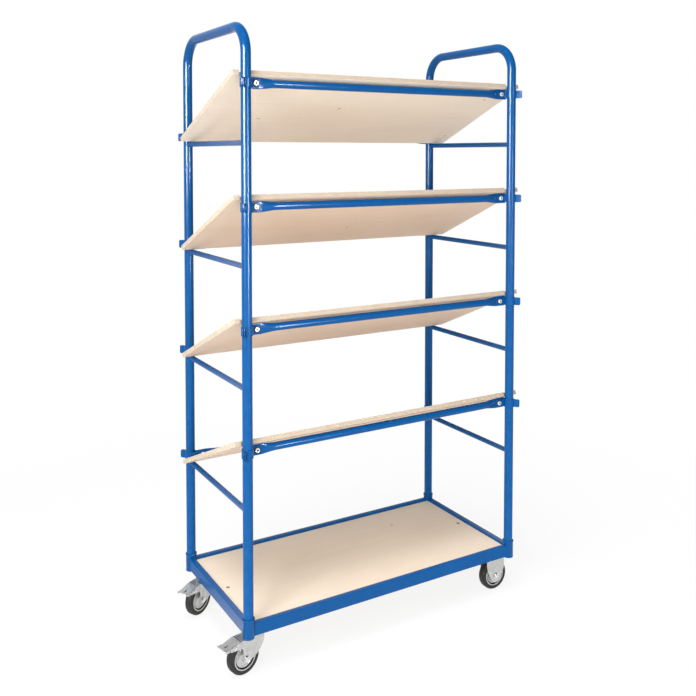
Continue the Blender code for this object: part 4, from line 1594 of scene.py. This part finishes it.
@dataclass
class Base:
    """Base rails, corner sockets and castor pads."""

    shop: Workshop
    rail_corner: float = 0.0025
    weld_bead: float = 0.0007
    ledge_width: float = 0.015
    ledge_thickness: float = 0.003
    ledge_round: float = 0.0005
    ledge_sink: float = 0.001
    socket_height: float = 0.062
    lip_height: float = 0.006
    lip_wall: float = 0.0012
    pad_margin: float = 0.004
    pad_clearance: float = 0.0004
    pad_round: float = 0.0006
    pad_tuck: float = 0.012
    lug_place: float = 0.118
    lug_rise: float = 0.006
    lug_radius: float = 0.0085
    lug_depth: float = 0.004
    lug_sink: float = 0.0005

    def build(self) -> None:
        """Make the long rails, the end rails, the sockets and the pads."""
        sizes = self.shop.sizes
        for row in Row:
            name = row.name.lower()
            mesh = as_mesh(self.long_rail(row.value), "long_rail")
            place = at(0.0, -row.value * sizes.half_y, sizes.rail_bottom)
            self.shop.add(f"{name}_base_rail", mesh, Look.PAINT, place, stands_for=[f"{name}_rail"])
        self.add_lug()
        short = as_mesh(self.bar(sizes.half_y, lambda along, u, v: (u, along, v)), "short_rail")
        socket = as_mesh(self.socket_shape(), "socket")
        for end in End:
            side = end.name.lower()
            x = end.value * sizes.half_x
            place = at(x, 0.0, sizes.rail_bottom)
            self.shop.add(f"{side}_base_rail", short, Look.PAINT, place, stands_for=[f"{side}_end_rail"])
            for row in Row:
                corner = f"{row.name.lower()}_{side}"
                pad = as_mesh(flipped(self.pad_shape(), -end.value, row.value), "castor_pad")
                place = at(x, -row.value * sizes.half_y, sizes.pad_bottom)
                self.shop.add(f"{corner}_socket", socket, Look.PAINT, place)
                self.shop.add(f"{corner}_castor_pad", pad, Look.PAINT, place, bevel=self.pad_round)

    def add_lug(self) -> None:
        """Round lug on the left end rail near the rear castor."""
        sizes = self.shop.sizes
        radius, depth = self.lug_radius, self.lug_depth
        bore, chamfer, ease, inner = radius * 0.45, 0.0012, 0.0004, 0.0006
        profile = [(bore, 0.0), (radius, 0.0), (radius, depth - chamfer), (radius - ease, depth - ease)]
        profile += [(radius - chamfer, depth), (bore + inner, depth), (bore, depth - inner)]
        mesh = as_mesh(turned(profile, 36, looped=True), "rail_lug")
        x = -sizes.half_x - sizes.rail_width / 2 + self.lug_sink
        place = at(x, sizes.half_y - self.lug_place, sizes.rail_bottom + self.lug_rise)
        self.shop.add("left_rail_lug", mesh, Look.PAINT, place @ Matrix.Rotation(-math.pi / 2, 4, "Y"))

    def bar(self, half_span: float, set_point: Placing) -> Shape:
        """Rail between two sockets.

        Args:
            half_span: Distance from its middle to a socket's axis.
            set_point: Puts a point, given along the rail, across it and up, in its place.

        Returns:
            The shape.
        """
        sizes = self.shop.sizes
        seat = sizes.socket_radius + sizes.gap

        def outline(grow: float) -> list[Point2]:
            """Outline of the rail.

            Args:
                grow: How far it is grown all round.

            Returns:
                The points.
            """
            side, top = sizes.rail_width / 2 + grow, sizes.rail_height + grow
            corners = [(-side, -grow), (side, -grow), (side, top), (-side, top)]
            return softened(corners, self.rail_corner + grow, 5)

        def reach(offset: float) -> float:
            """Distance from the middle to the socket."""
            return half_span - math.sqrt(seat**2 - offset**2)

        return welded_bar(outline, reach, self.weld_bead, set_point)

    def long_rail(self, inward: int) -> Shape:
        """Long rail with the ledge under the deck.

        Args:
            inward: Direction along Y into the cart.

        Returns:
            The shape.
        """
        sizes = self.shop.sizes
        rail = self.bar(sizes.half_x, lambda along, u, v: (along, u, v))
        end = sizes.half_x - sizes.socket_radius - self.ledge_width
        top = sizes.deck_top - sizes.deck_thickness - sizes.gap - sizes.rail_bottom
        root, edge = sizes.rail_width / 2 - self.ledge_sink, sizes.rail_width / 2 + self.ledge_width
        low_y, high_y = sorted((inward * root, inward * edge))
        ledge = block((-end, low_y, top - self.ledge_thickness), (end, high_y, top))
        bmesh.ops.bevel(ledge, geom=ledge.edges[:], offset=self.ledge_round, segments=2, affect="EDGES")
        return gathered([rail, ledge])

    def socket_shape(self) -> Shape:
        """Sleeve with a lip round its mouth.

        Returns:
            The shape.
        """
        sizes = self.shop.sizes
        bore, outer = sizes.post_radius + sizes.gap, sizes.socket_radius
        top, wide = self.socket_height, outer + self.lip_wall
        lip = top - self.lip_height
        rim, ease = 0.001, 0.0003
        profile = [(bore, sizes.pad_thickness), (bore, 0.0), (outer - rim, 0.0), (outer - ease, ease)]
        profile += [(outer, rim), (outer, lip - 2 * ease), (outer + ease, lip), (wide - ease, lip + 3 * ease)]
        profile += [(wide, lip + 6 * ease), (wide, top - rim), (wide - ease, top - ease), (wide - rim, top)]
        profile += [(bore + 0.0012, top), (bore, top - 0.0008)]
        return turned(profile, 48, looped=True)

    def pad_shape(self) -> Shape:
        """Corner plate for a castor, for the front left corner.

        Returns:
            The shape.
        """
        sizes = self.shop.sizes
        corner = self.pad_tuck - sizes.rail_width / 2
        far_x = sizes.castor_inset_x + sizes.plate_length / 2 + self.pad_margin
        far_y = sizes.castor_inset_y + sizes.plate_width / 2 + self.pad_margin
        cut = far_y / 4
        sleeve = sizes.socket_radius + self.pad_clearance
        meet = math.degrees(math.asin(-corner / sleeve))
        outline = arc((0.0, 0.0), sleeve, 90.0 + meet, 360.0 - meet, 16)
        outline += [(far_x, corner), (far_x, far_y - cut), (far_x - cut, far_y), (corner, far_y)]
        return upright(outline, 0.0, sizes.pad_thickness)


@dataclass
class Wheel:
    """Wheel with a steel centre and a solid tyre, about its own axle."""

    radius: float = 0.055
    tyre_half: float = 0.015
    groove_depth: float = 0.0005
    rim_radius: float = 0.039
    rim_half: float = 0.013
    boss_half: float = 0.0185
    boss_radius: float = 0.012
    bore: float = 0.0053
    sides: int = 80

    def tyre_mesh(self) -> Mesh:
        """Tyre with round shoulders, a tread groove each side and a lip at the rim.

        Returns:
            The mesh.
        """
        tread, rim, half = self.radius, self.rim_radius, self.tyre_half
        floor = tread - self.groove_depth
        row = [(tread, 0.0), (tread, 0.45 * half), (floor, 0.50 * half), (floor, 0.56 * half)]
        row += [(tread - 0.0003, 0.62 * half)]
        row += swept((tread - 0.0007, 0.68 * half), (tread - 0.0025, half), (tread - 0.0080, half), 6)
        row += [(rim + 0.0040, half - 0.0003), (rim + 0.0018, half - 0.0012), (rim + 0.0013, half - 0.0024)]
        row += [(rim + 0.0003, half - 0.0036), (rim + 0.0003, 0.4 * half)]
        profile = row + [(radius, -place) for radius, place in reversed(row[1:])]
        return as_mesh(turned(profile, self.sides, Axis.Y, looped=True), "tyre")

    def centre_mesh(self) -> Mesh:
        """Pressed centre: rim edge, deep groove, dished disc and bearing boss.

        Returns:
            The mesh.
        """
        rim, high, boss, side = self.rim_radius, self.rim_half, self.boss_radius, self.boss_half
        half = [(self.bore, side), (boss - 0.0010, side), (boss, side - 0.0010), (boss + 0.0003, 0.0125)]
        half += swept((boss + 0.0010, 0.0105), (0.0155, 0.0070), (0.0240, 0.0082), 5)
        half += swept((0.0290, 0.0098), (0.0312, 0.0112), (0.0321, 0.0100), 4)
        half += [(0.0324, 0.0074), (rim - 0.0030, 0.0072), (rim - 0.0027, high - 0.0006)]
        half += [(rim - 0.0020, high + 0.0008), (rim - 0.0004, high + 0.0012), (rim + 0.0010, high + 0.0008)]
        half += [(rim + 0.0012, high), (rim, high - 0.0016)]
        profile = half + [(radius, -place) for radius, place in reversed(half)]
        return as_mesh(turned(profile, self.sides, Axis.Y, looped=True), "wheel_centre")


@dataclass
class Castors:
    """Two swivel castors with brakes at the left and two fixed castors at the right.

    Places on a brake pedal are given along X from its pivot.
    """

    shop: Workshop
    wheel: Wheel = field(default_factory=Wheel)
    plate_thickness: float = 0.003
    plate_corner: float = 0.008
    plate_trim: float = 0.010
    plate_round: float = 0.0005
    bolt_spread: Pair = (0.037, 0.029)
    bolt_across: float = 0.013
    bolt_height: float = 0.0068
    bolt_turn: float = 20.0
    plate_washer: Pair = (0.0080, 0.0015)
    throat: float = 0.040
    wall: float = 0.003
    sheet_round: float = 0.0006
    boss_radius: float = 0.013
    trail: float = 0.040
    crown_top: float = 0.117
    race_bottom: float = 0.1218
    race_radius: float = 0.028
    race_sides: int = 56
    headset_height: float = 0.0045
    headset_radius: float = 0.025
    king_pin_across: float = 0.017
    front_reach: float = 0.027
    shoulder_drop: float = 0.020
    tail_reach: float = 0.101
    tail_depth: float = 0.024
    tail_drop: float = 0.011
    tail_end: float = 0.009
    notch: float = 0.010
    crown_tail: float = 0.058
    bracket_drop: float = 0.045
    bracket_boss: float = 0.025
    bracket_panel: float = 0.023
    wing_bend: float = 0.0022
    axle_radius: float = 0.005
    axle_washer: Pair = (0.0100, 0.0014)
    axle_across: float = 0.0147
    axle_thread: float = 0.0042
    pin_radius: float = 0.003
    pivot_back: float = 0.082
    pivot_drop: float = 0.013
    pedal_start: float = 0.020
    pedal_tip: float = -0.042
    pedal_half: float = 0.0195
    pedal_sink: float = 0.001
    pedal_slope: float = 11.0
    pedal_sheet: float = 0.0024
    pedal_round: float = 0.0005
    tread_length: float = 0.028
    tread_half: float = 0.023
    tip_rise: float = 0.0085
    skirt_start: float = -0.0225
    slot_length: float = 0.013
    slot_half: float = 0.0028
    turns: tuple[tuple[Row, float], ...] = ((Row.FRONT, 12.0), (Row.REAR, 28.0))

    @property
    def plate_bottom(self) -> float:
        """Height of the top plate's underside."""
        return self.shop.sizes.castor_height - self.plate_thickness

    @property
    def half_fork(self) -> float:
        """Half the outside width of a fork."""
        return self.throat / 2 + self.wall

    def build(self) -> None:
        """Make all four castors."""
        shapes = {
            "castor_plate": self.top_plate(),
            "swivel_plate": self.top_plate(self.plate_trim),
            "plate_bolts": self.plate_bolts(),
            "swivel_plate_bolts": self.plate_bolts(self.plate_trim),
            "upper_race": self.upper_race(),
            "fork": self.fork_shape(),
            "headset": self.headset_shape(),
            "axle_bolt": self.axle_shape(),
            "pedal_pin": self.pin_shape(),
            "pedal": self.pedal_shape(),
            "bracket": self.bracket_shape(),
        }
        meshes = {name: as_mesh(shape, name) for name, shape in shapes.items()}
        meshes |= {"tyre": self.wheel.tyre_mesh(), "wheel_centre": self.wheel.centre_mesh()}
        # The pedal's second finish is near-black painted shade under its slot.
        self.shop.coat(meshes["pedal"], Look.ZINC, Look.DARK)
        for row, angle in self.turns:
            self.add_swivel(row, angle, meshes)
            self.add_fixed(row, meshes)

    def corner(self, end: End, row: Row) -> Matrix:
        """Find where a castor stands.

        Args:
            end: End of the cart.
            row: Side of the cart.

        Returns:
            The place on the floor under the middle of its plate.
        """
        sizes = self.shop.sizes
        x = end.value * (sizes.half_x - sizes.castor_inset_x)
        return at(x, -row.value * (sizes.half_y - sizes.castor_inset_y))

    def add_swivel(self, row: Row, angle: float, meshes: Meshes) -> None:
        """Put a braked swivel castor under a left corner.

        Args:
            row: Side of the cart.
            angle: Turn of its fork at rest, in degrees.
            meshes: Meshes by name.
        """
        add, zinc, bright = self.shop.add, Look.ZINC, Look.FASTENER
        name = f"{row.name.lower()}_left"
        node, swivel = f"{name}_castor", f"{name}_swivel"
        place = self.corner(End.LEFT, row)
        plate, bolts = meshes["swivel_plate"], meshes["swivel_plate_bolts"]
        add(f"{name}_top_plate", plate, zinc, place, stands_for=[f"{node}_plate"], bevel=self.plate_round)
        add(f"{name}_upper_race", meshes["upper_race"], zinc, place)
        add(f"{name}_plate_bolts", bolts, bright, place)
        place = place @ Matrix.Rotation(math.radians(angle), 4, "Z")
        add(f"{name}_pressed_fork", meshes["fork"], zinc, place, swivel, [f"{node}_fork"], self.sheet_round)
        add(f"{name}_headset", meshes["headset"], zinc, place, swivel)
        hub = place @ at(-self.trail, 0.0, self.wheel.radius)
        add(f"{name}_axle_bolt", meshes["axle_bolt"], bright, hub, swivel)
        pivot = place @ at(-self.pivot_back, 0.0, self.crown_top - self.pivot_drop)
        add(f"{name}_pedal_pin", meshes["pedal_pin"], bright, pivot, swivel)
        pedal, brake, nodes = meshes["pedal"], f"{name}_brake", [f"{node}_pedal"]
        add(f"{name}_brake_pedal", pedal, zinc, pivot, brake, nodes, self.pedal_round)
        self.add_wheel(name, hub, meshes)

    def add_fixed(self, row: Row, meshes: Meshes) -> None:
        """Put a fixed castor under a right corner.

        Args:
            row: Side of the cart.
            meshes: Meshes by name.
        """
        add, zinc, bright = self.shop.add, Look.ZINC, Look.FASTENER
        name = f"{row.name.lower()}_right"
        place = self.corner(End.RIGHT, row)
        bracket, nodes = meshes["bracket"], [f"{name}_castor_bracket"]
        add(f"{name}_pressed_bracket", bracket, zinc, place, stands_for=nodes, bevel=self.sheet_round)
        add(f"{name}_top_plate", meshes["castor_plate"], zinc, place, bevel=self.plate_round)
        add(f"{name}_plate_bolts", meshes["plate_bolts"], bright, place)
        hub = place @ at(0.0, 0.0, self.wheel.radius)
        add(f"{name}_axle_bolt", meshes["axle_bolt"], bright, hub)
        self.add_wheel(name, hub, meshes)

    def add_wheel(self, name: str, hub: Matrix, meshes: Meshes) -> None:
        """Put a wheel on its axle.

        Args:
            name: Corner of the cart.
            hub: Place of the axle.
            meshes: Meshes by name.
        """
        body, node = f"{name}_wheel", f"{name}_castor"
        self.shop.add(f"{name}_wheel_tyre", meshes["tyre"], Look.TYRE, hub, body, [f"{node}_tyre"])
        centre = meshes["wheel_centre"]
        self.shop.add(f"{name}_wheel_centre", centre, Look.WHEEL, hub, body, [f"{node}_hub"])

    def top_plate(self, trim: float = 0.0) -> Shape:
        """Plate with round corners.

        Args:
            trim: How far its left edge is cut back.

        Returns:
            The shape.
        """
        sizes = self.shop.sizes
        half_x, half_y = sizes.plate_length / 2, sizes.plate_width / 2
        left = trim - half_x
        corners = [(left, -half_y), (half_x, -half_y), (half_x, half_y), (left, half_y)]
        outline = softened(corners, self.plate_corner, 8)
        return upright(outline, self.plate_bottom, self.plate_bottom + self.plate_thickness)

    def plate_bolts(self, trim: float = 0.0) -> Shape:
        """Four hexagon bolts with washers under the plate.

        Args:
            trim: How far the left pair is moved in.

        Returns:
            The shape.
        """
        radius, thickness = self.plate_washer
        top, seat = self.plate_bottom, self.plate_bottom - thickness
        shapes = []
        for i, (sx, sy) in enumerate(((1, 1), (-1, 1), (-1, -1), (1, -1))):
            head = hex_head(self.bolt_across, seat, top - self.bolt_height, Axis.Z, self.bolt_turn * i)
            x = sx * self.bolt_spread[0] + (trim if sx < 0 else 0.0)
            for shape in (washer(radius, top, seat, Axis.Z, 32), head):
                shapes.append(moved(shape, x, sy * self.bolt_spread[1]))
        return gathered(shapes)

    def upper_race(self) -> Shape:
        """Dished race pressed under the plate.

        Returns:
            The shape.
        """
        low, high, radius = self.race_bottom, self.plate_bottom, self.race_radius
        flare = swept((radius + 0.0024, high - 0.0010), (radius, high - 0.0018), (radius, low + 0.0010), 5)
        profile = [(radius + 0.0030, high), *flare, (radius - 0.0006, low + 0.0002), (radius - 0.0020, low)]
        return turned(profile, self.race_sides)

    def headset_shape(self) -> Shape:
        """Lower race on the crown and the king pin nut under it.

        Returns:
            The shape.
        """
        low, high, radius = self.crown_top, self.crown_top + self.headset_height, self.headset_radius
        flare = swept((radius + 0.0014, low + 0.0008), (radius, low + 0.0012), (radius, high - 0.0010), 5)
        profile = [(radius + 0.0018, low - 0.0005), *flare, (radius - 0.0008, high - 0.0002)]
        profile.append((radius - 0.0022, high))
        under = self.crown_top - self.wall
        nut = hex_head(self.king_pin_across, under + 0.0003, under - 0.0048, Axis.Z, 12.0)
        return gathered([turned(profile, self.race_sides), nut])

    def fork_sheet(self) -> Shape:
        """Sheet bent to a channel that opens downwards, longer and deeper than the fork.

        Returns:
            The shape.
        """
        half, inner, spare = self.half_fork, self.throat / 2, 0.002
        top, under = self.crown_top, self.crown_top - self.wall
        bottom = self.wheel.radius - self.boss_radius - 6 * spare
        outside = [(-half, bottom), (-half, top), (half, top), (half, bottom)]
        inside = [(inner, bottom), (inner, under), (-inner, under), (-inner, bottom)]
        outline = softened(outside, [0, 0.005, 0.005, 0], 7) + softened(inside, [0, 0.0025, 0.0025, 0], 6)
        return lengthwise(outline, -self.tail_reach - spare, self.front_reach + spare)

    def fork_shape(self) -> Shape:
        """Pressed fork: a channel cut to the outline of its cheeks.

        Returns:
            The shape.
        """
        axle = (-self.trail, self.wheel.radius)
        tail_bottom, tail_top = self.crown_top - self.tail_depth, self.crown_top - self.tail_drop
        boss = arc(axle, self.boss_radius, -55.0, -190.0, 14)
        shoulder = (self.front_reach, self.crown_top - self.shoulder_drop)
        top = self.crown_top + 0.001
        outline = [(self.front_reach, top)]
        outline += swept(shoulder, (self.front_reach / 2, self.wheel.radius), boss[0], 16)
        outline += boss[1:]
        back = -self.trail - self.boss_radius
        corner = (back, tail_bottom)
        outline += swept((back, tail_bottom - self.notch), corner, (back - self.notch, tail_bottom), 8)
        end = [(-self.tail_reach, tail_top - self.tail_end), (-self.tail_reach, tail_top)]
        rear = [outline[-1], *end, (-self.crown_tail, top), outline[0]]
        outline += softened(rear, [0.0, 0.004, 0.003, 0.012, 0.0], 5)[1:-1]
        silhouette = crosswise(outline, -CUT_REACH, CUT_REACH)
        inner = self.throat / 2 - 0.0004
        low = (-self.tail_reach - CUT_REACH, -inner, self.crown_top - CUT_REACH)
        opening = block(low, (-self.crown_tail, inner, top + CUT_REACH))
        return machined(self.fork_sheet(), [(Cut.AWAY, opening), (Cut.DOWN_TO, silhouette)])

    def bracket_shape(self) -> Shape:
        """Pressed bracket of a fixed castor: cheeks with bent wings and a broad round end.

        Returns:
            The shape.
        """
        half = self.shop.sizes.plate_length / 2 - self.plate_corner
        top = self.plate_bottom + 0.0005
        shoulder = self.plate_bottom - self.bracket_drop
        boss = arc((0.0, self.wheel.radius), self.bracket_boss, -20.0, -160.0, 22)
        right = swept((half, shoulder), (half * 0.90, shoulder - 0.012), boss[0], 8)
        edge = [(half, top), (half, shoulder + 0.010), *right[1:-1]]
        outline = [*edge, *boss, *((-u, v) for u, v in reversed(edge))]
        inner, outer, bend = self.throat / 2, self.half_fork, self.wing_bend
        fold, wing = self.bracket_panel, self.bracket_panel + 0.005
        reach = half + 0.002
        plan = [(-reach, outer - bend), (-wing, outer - bend), (-fold, outer), (fold, outer)]
        plan += [(wing, outer - bend), (reach, outer - bend)]
        plan += [(u, v - outer + inner) for u, v in reversed(plan)]
        bottom = self.wheel.radius - self.bracket_boss - 0.005
        cheeks = []
        for side in (-1, 1):
            sheet = upright([(u, side * v) for u, v in softened(plan, 0.004, 4)], bottom, top + 0.001)
            silhouette = crosswise(outline, -CUT_REACH, CUT_REACH)
            cheeks.append(machined(sheet, [(Cut.DOWN_TO, silhouette)]))
        return gathered(cheeks)

    def axle_shape(self) -> Shape:
        """Axle bolt with washers, head, nut and threaded end, about the axle line.

        Returns:
            The shape.
        """
        radius, thickness = self.axle_washer
        half, seat = self.half_fork, self.half_fork + thickness
        shapes = []
        for side in (-1, 1):
            shapes.append(washer(radius, side * half, side * seat, Axis.Y, 36))
            shapes.append(hex_head(self.axle_across, side * seat, side * (half + 0.0050), Axis.Y, 10.0))
        shapes.append(threaded(self.axle_thread, -half - 0.0045, -half - 0.0062))
        shank, reach = self.axle_radius, half + 0.001
        shapes.append(turned([(shank, -reach), (shank, reach)], 28, Axis.Y))
        return gathered(shapes)

    def pin_shape(self) -> Shape:
        """Pivot pin of the brake pedal with a rivet head on each cheek.

        Returns:
            The shape.
        """
        half, radius = self.half_fork, self.pin_radius
        shapes = [turned([(radius, -half), (radius, half)], 24, Axis.Y)]
        for side in (-1, 1):
            dome = [(0.0052, half), (0.0052, half + 0.0006), (0.0044, half + 0.0015), (0.0026, half + 0.0021)]
            shapes.append(turned([(r, side * h) for r, h in dome], 28, Axis.Y))
        return gathered(shapes)

    def pedal_point(self, x: float, drop: float = 0.0) -> Point2:
        """Point on the middle of the pedal's sloped sheet, or under it.

        Args:
            x: Place along X from the pivot.
            drop: How far the point lies under the sheet.

        Returns:
            The point as X and Z from the pivot.
        """
        fall = math.tan(math.radians(self.pedal_slope))
        start = self.pivot_drop - self.pedal_sink - self.pedal_sheet / 2
        return x, start - (self.pedal_start - x) * fall - drop

    def pedal_shape(self) -> Shape:
        """Pressed pedal about its pivot: sheet with a slot, ears, skirts, brake shoe and rivet.

        Returns:
            The shape.
        """
        half, x = self.pedal_half, 0.012
        shoe = [self.pedal_point(-0.005), self.pedal_point(-0.013), (-0.013, -0.0095), (-0.005, -0.0005)]
        rivet = [(0.0042, 0.0), (0.0042, 0.0006), (0.0034, 0.0014), (0.0016, 0.0018)]
        height = self.pedal_point(x)[1] + self.pedal_sheet / 2 - 0.0002
        shapes = [*self.pedal_plate(), *self.pedal_walls()]
        shapes.append(crosswise(softened(shoe, 0.001, 3), -half + 0.006, half - 0.006))
        shapes.append(moved(turned(rivet, 24), x, -0.006, height))
        return gathered(shapes)

    def pedal_plate(self) -> list[Shape]:
        """Sheet of the pedal with a turned-up end and a slot, and a dark block under the slot that is painted
        shade.

        Returns:
            The shapes.
        """
        tip, half = self.pedal_tip, self.pedal_half
        path = [self.pedal_point(self.pedal_start)]
        path += [self.pedal_point(tip + 0.021 - 0.0015 * i) for i in range(5)]
        end = self.pedal_point(tip, -self.tip_rise)[1]
        pull = self.pedal_point(tip + 0.0035)
        path += swept(self.pedal_point(tip + 0.013), pull, (tip + 0.0008, end), 9)
        widens = self.pedal_start - self.skirt_start - 0.001

        def half_width(place: float) -> float:
            """Body width, then the wider tread."""
            return half + (self.tread_half - half) * smooth_share((place - widens) / 0.004)

        plate = strip(path, self.pedal_sheet, half_width, (0.003, 0.006), lambda x, z, across: (x, across, z))
        high, side = tip + self.tread_length - 0.0005, self.slot_half
        low = high - self.slot_length
        bottom, top = self.pedal_point(low)[1], self.pedal_point(high)[1]
        corners = [(low, -side), (high, -side), (high, side), (low, side)]
        slot = upright(softened(corners, 0.0022, 5), bottom - 0.01, top + 0.01)
        # Painted shade: a near-black block under the slot makes the slot read dark.
        slot_shade = block((low - 0.002, -0.005, bottom - 0.0030), (high + 0.002, 0.005, bottom - 0.0004))
        for face in slot_shade.faces:
            face.material_index = 1
        return [machined(plate, [(Cut.AWAY, slot)]), slot_shade]

    def pedal_walls(self) -> list[Shape]:
        """Ears of the pedal on its pin and skirts beside its tread.

        Returns:
            The shapes.
        """
        tip, front, skirt_front = self.pedal_tip, self.pedal_start, self.skirt_start
        ear = [(front - 0.001, self.pedal_point(front)[1]), self.pedal_point(tip + self.tread_length + 0.001)]
        ear += [(-0.0105, -0.0045), (0.0055, -0.0058)]
        skirt = [self.pedal_point(skirt_front), self.pedal_point(tip + 0.004)]
        skirt += [self.pedal_point(tip + 0.006, 0.0040), self.pedal_point(skirt_front, 0.0080)]
        shapes = []
        for side in (-1, 1):
            low, high = sorted(side * (self.pedal_half - depth) for depth in (0.0, self.pedal_sheet))
            cheek = crosswise(softened(ear, [0.001, 0.002, 0.004, 0.004], 4), low, high)
            bore = crosswise(circle(0.0034, 20), low - 0.01, high + 0.01)
            shapes.append(machined(cheek, [(Cut.AWAY, bore)]))
            low, high = sorted(side * (self.tread_half - depth) for depth in (0.0, self.pedal_sheet))
            shapes.append(crosswise(softened(skirt, [0.0, 0.0008, 0.0015, 0.002], 4), low, high))
        return shapes


@dataclass(frozen=True)
class Lamp:
    """Soft rectangular lamp that faces a target and lights one kind of rays."""

    name: str
    place: Point3
    target: Point3
    size: Point2
    power: float
    seen: Seen
    spread: float = 180.0

    def hang(self, middle: Vector) -> None:
        """Put the lamp in the scene.

        Args:
            middle: Point on the floor from which its place is given.
        """
        data = bpy.data.lights.new(self.name, "AREA")
        data.shape = "RECTANGLE"
        data.size, data.size_y = self.size
        data.energy = self.power
        data.spread = math.radians(self.spread)
        lamp = bpy.data.objects.new(self.name, data)
        lamp.location = middle + Vector(self.place)
        aim = Vector(self.target) - Vector(self.place)
        lamp.rotation_euler = aim.to_track_quat("-Z", "Y").to_euler()
        lamp.visible_diffuse = self.seen is Seen.DIFFUSE
        lamp.visible_glossy = self.seen is Seen.GLOSSY
        lamp.visible_camera = False
        bpy.context.scene.collection.objects.link(lamp)


LAMPS: tuple[Lamp, ...] = (
    Lamp("left_softbox", (-2.3, -1.6, 1.7), (0.0, 0.0, 0.9), (1.0, 1.8), 48.0, Seen.DIFFUSE),
    Lamp("left_strip", (-2.66, -1.1, 2.1), (-0.55, 0.05, 1.7), (1.5, 1.5), 95.0, Seen.GLOSSY, 60.0),
    Lamp("front_fill", (-0.9, -3.8, 0.9), (0.0, 0.0, 0.7), (3.0, 1.6), 58.0, Seen.DIFFUSE),
    Lamp("top_light", (-1.6, -1.2, 6.3), (0.35, 0.0, 0.5), (4.0, 3.6), 50.0, Seen.DIFFUSE, 60.0),
    Lamp("front_strip", (0.62, -3.8, 1.4), (-0.45, -0.25, 1.5), (0.6, 1.5), 17.0, Seen.GLOSSY, 40.0),
)


@dataclass
class Studio:
    """Camera, floor and light."""

    middle: Vector
    lamps: tuple[Lamp, ...] = LAMPS
    camera_place: Point3 = (-1.5728, -2.6222, 1.6276)
    look_down: float = 2.337
    look_right: float = 30.666
    lens: float = 43.99
    sensor: float = 36.0
    shift_down: float = -0.2296
    mirrored_light: Pair = (0.08, 1.0)
    side_light: Pair = (0.70, 0.26)
    floor_radius: float = 9.0
    floor_depth: float = 0.02
    floor_drop: float = 0.0002
    floor_tone: float = 0.86
    glow_reach: Pair = (0.8, 2.4)
    glow_share: Pair = (0.85, 1.0)

    def build(self) -> None:
        """Set up everything round the cart."""
        scene = bpy.context.scene
        scene.view_settings.view_transform = "Standard"
        scene.camera = self.add_camera()
        scene.world = self.add_world()
        self.add_floor()
        for lamp in self.lamps:
            lamp.hang(self.middle)

    def add_camera(self) -> bpy.types.Object:
        """Put a camera at the photograph's viewing angle.

        Returns:
            The camera.
        """
        data = bpy.data.cameras.new("camera")
        data.sensor_width = self.sensor
        data.lens = self.lens
        data.shift_y = self.shift_down
        camera = bpy.data.objects.new("camera", data)
        camera.location = self.middle + Vector(self.camera_place)
        angles = (90.0 - self.look_down, 0.0, -self.look_right)
        camera.rotation_euler = [math.radians(angle) for angle in angles]
        bpy.context.scene.collection.objects.link(camera)
        return camera

    def add_world(self) -> bpy.types.World:
        """White backdrop for the camera and for reflections, softer light for the rest.

        Returns:
            The world.
        """
        world = bpy.data.worlds.new("studio")
        world.use_nodes = True
        desk = NodeDesk(world.node_tree)
        background = world.node_tree.nodes["Background"]
        path = desk.add("ShaderNodeLightPath").outputs
        facing = desk.add("ShaderNodeSeparateXYZ")
        desk.feed(facing, Vector=desk.add("ShaderNodeTexCoord").outputs["Generated"])
        behind = desk.span(facing.outputs["Y"], 0.1, 0.9, *self.mirrored_light)
        seen = desk.math("MAXIMUM", path["Is Camera Ray"], path["Is Transmission Ray"])
        mirrored = desk.math("MULTIPLY", path["Is Glossy Ray"], behind)
        shown = desk.math("MAXIMUM", seen, mirrored)
        sideways = desk.span(facing.outputs["X"], -0.8, 0.8, *self.side_light)
        diffuse = desk.math("MULTIPLY", path["Is Diffuse Ray"], sideways)
        desk.feed(background, Color=(1.0, 1.0, 1.0, 1.0), Strength=desk.math("MAXIMUM", shown, diffuse))
        return world

    def add_floor(self) -> None:
        """Pale floor that keeps the cart's shadow and ends in the white backdrop."""
        radius, depth = self.floor_radius, self.floor_depth
        mesh = as_mesh(turned([(radius, 0.0), (radius - depth, -depth)], 96), "floor")
        floor = bpy.data.objects.new("floor", mesh)
        floor.location = (0.0, 0.0, -self.floor_drop)
        bpy.context.scene.collection.objects.link(floor)
        material = bpy.data.materials.new("floor_white")
        material.use_nodes = True
        tree = material.node_tree
        desk = NodeDesk(tree)
        shader = tree.nodes["Principled BSDF"]
        tone = (self.floor_tone, self.floor_tone, self.floor_tone, 1.0)
        desk.feed(shader, Base_Color=tone, Roughness=0.9, Specular_IOR_Level=0.0)
        glow = desk.add("ShaderNodeEmission")
        path = desk.add("ShaderNodeLightPath").outputs
        away = desk.add("ShaderNodeVectorMath", operation="LENGTH")
        desk.feed(away, Vector=desk.add("ShaderNodeTexCoord").outputs["Object"])
        glowing = desk.span(away.outputs["Value"], *self.glow_reach, *self.glow_share)
        seen = desk.math("MAXIMUM", path["Is Camera Ray"], path["Is Glossy Ray"])
        mixed = desk.add("ShaderNodeMixShader")
        sources = (desk.math("MULTIPLY", seen, glowing), shader.outputs[0], glow.outputs[0])
        for source, target in zip(sources, mixed.inputs):
            tree.links.new(source, target)
        tree.links.new(mixed.outputs[0], tree.nodes["Material Output"].inputs["Surface"])
        mesh.materials.append(material)


def main() -> None:
    """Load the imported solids, build the cart round them and set up the studio."""
    logging.basicConfig(level=logging.INFO, format="%(message)s")
    for obj in list(bpy.data.objects):
        bpy.data.objects.remove(obj)
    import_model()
    left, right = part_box("left_handle_frame"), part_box("right_handle_frame")
    middle = Vector(((left[0].x + right[1].x) / 2, (left[0].y + left[1].y) / 2, 0.0))
    Studio(middle).build()
    effects = Effects()
    materials = {finish.look: finish.build(effects) for finish in FINISHES}
    shop = Workshop(CartSizes(), middle, materials)
    for assembly in (Uprights, CrossTubes, StrapClamps, Boards, Base, Castors):
        assembly(shop).build()
    LOG.info("%d pieces made", shop.made)
    bpy.context.view_layer.update()


if __name__ == "__main__":
    main()
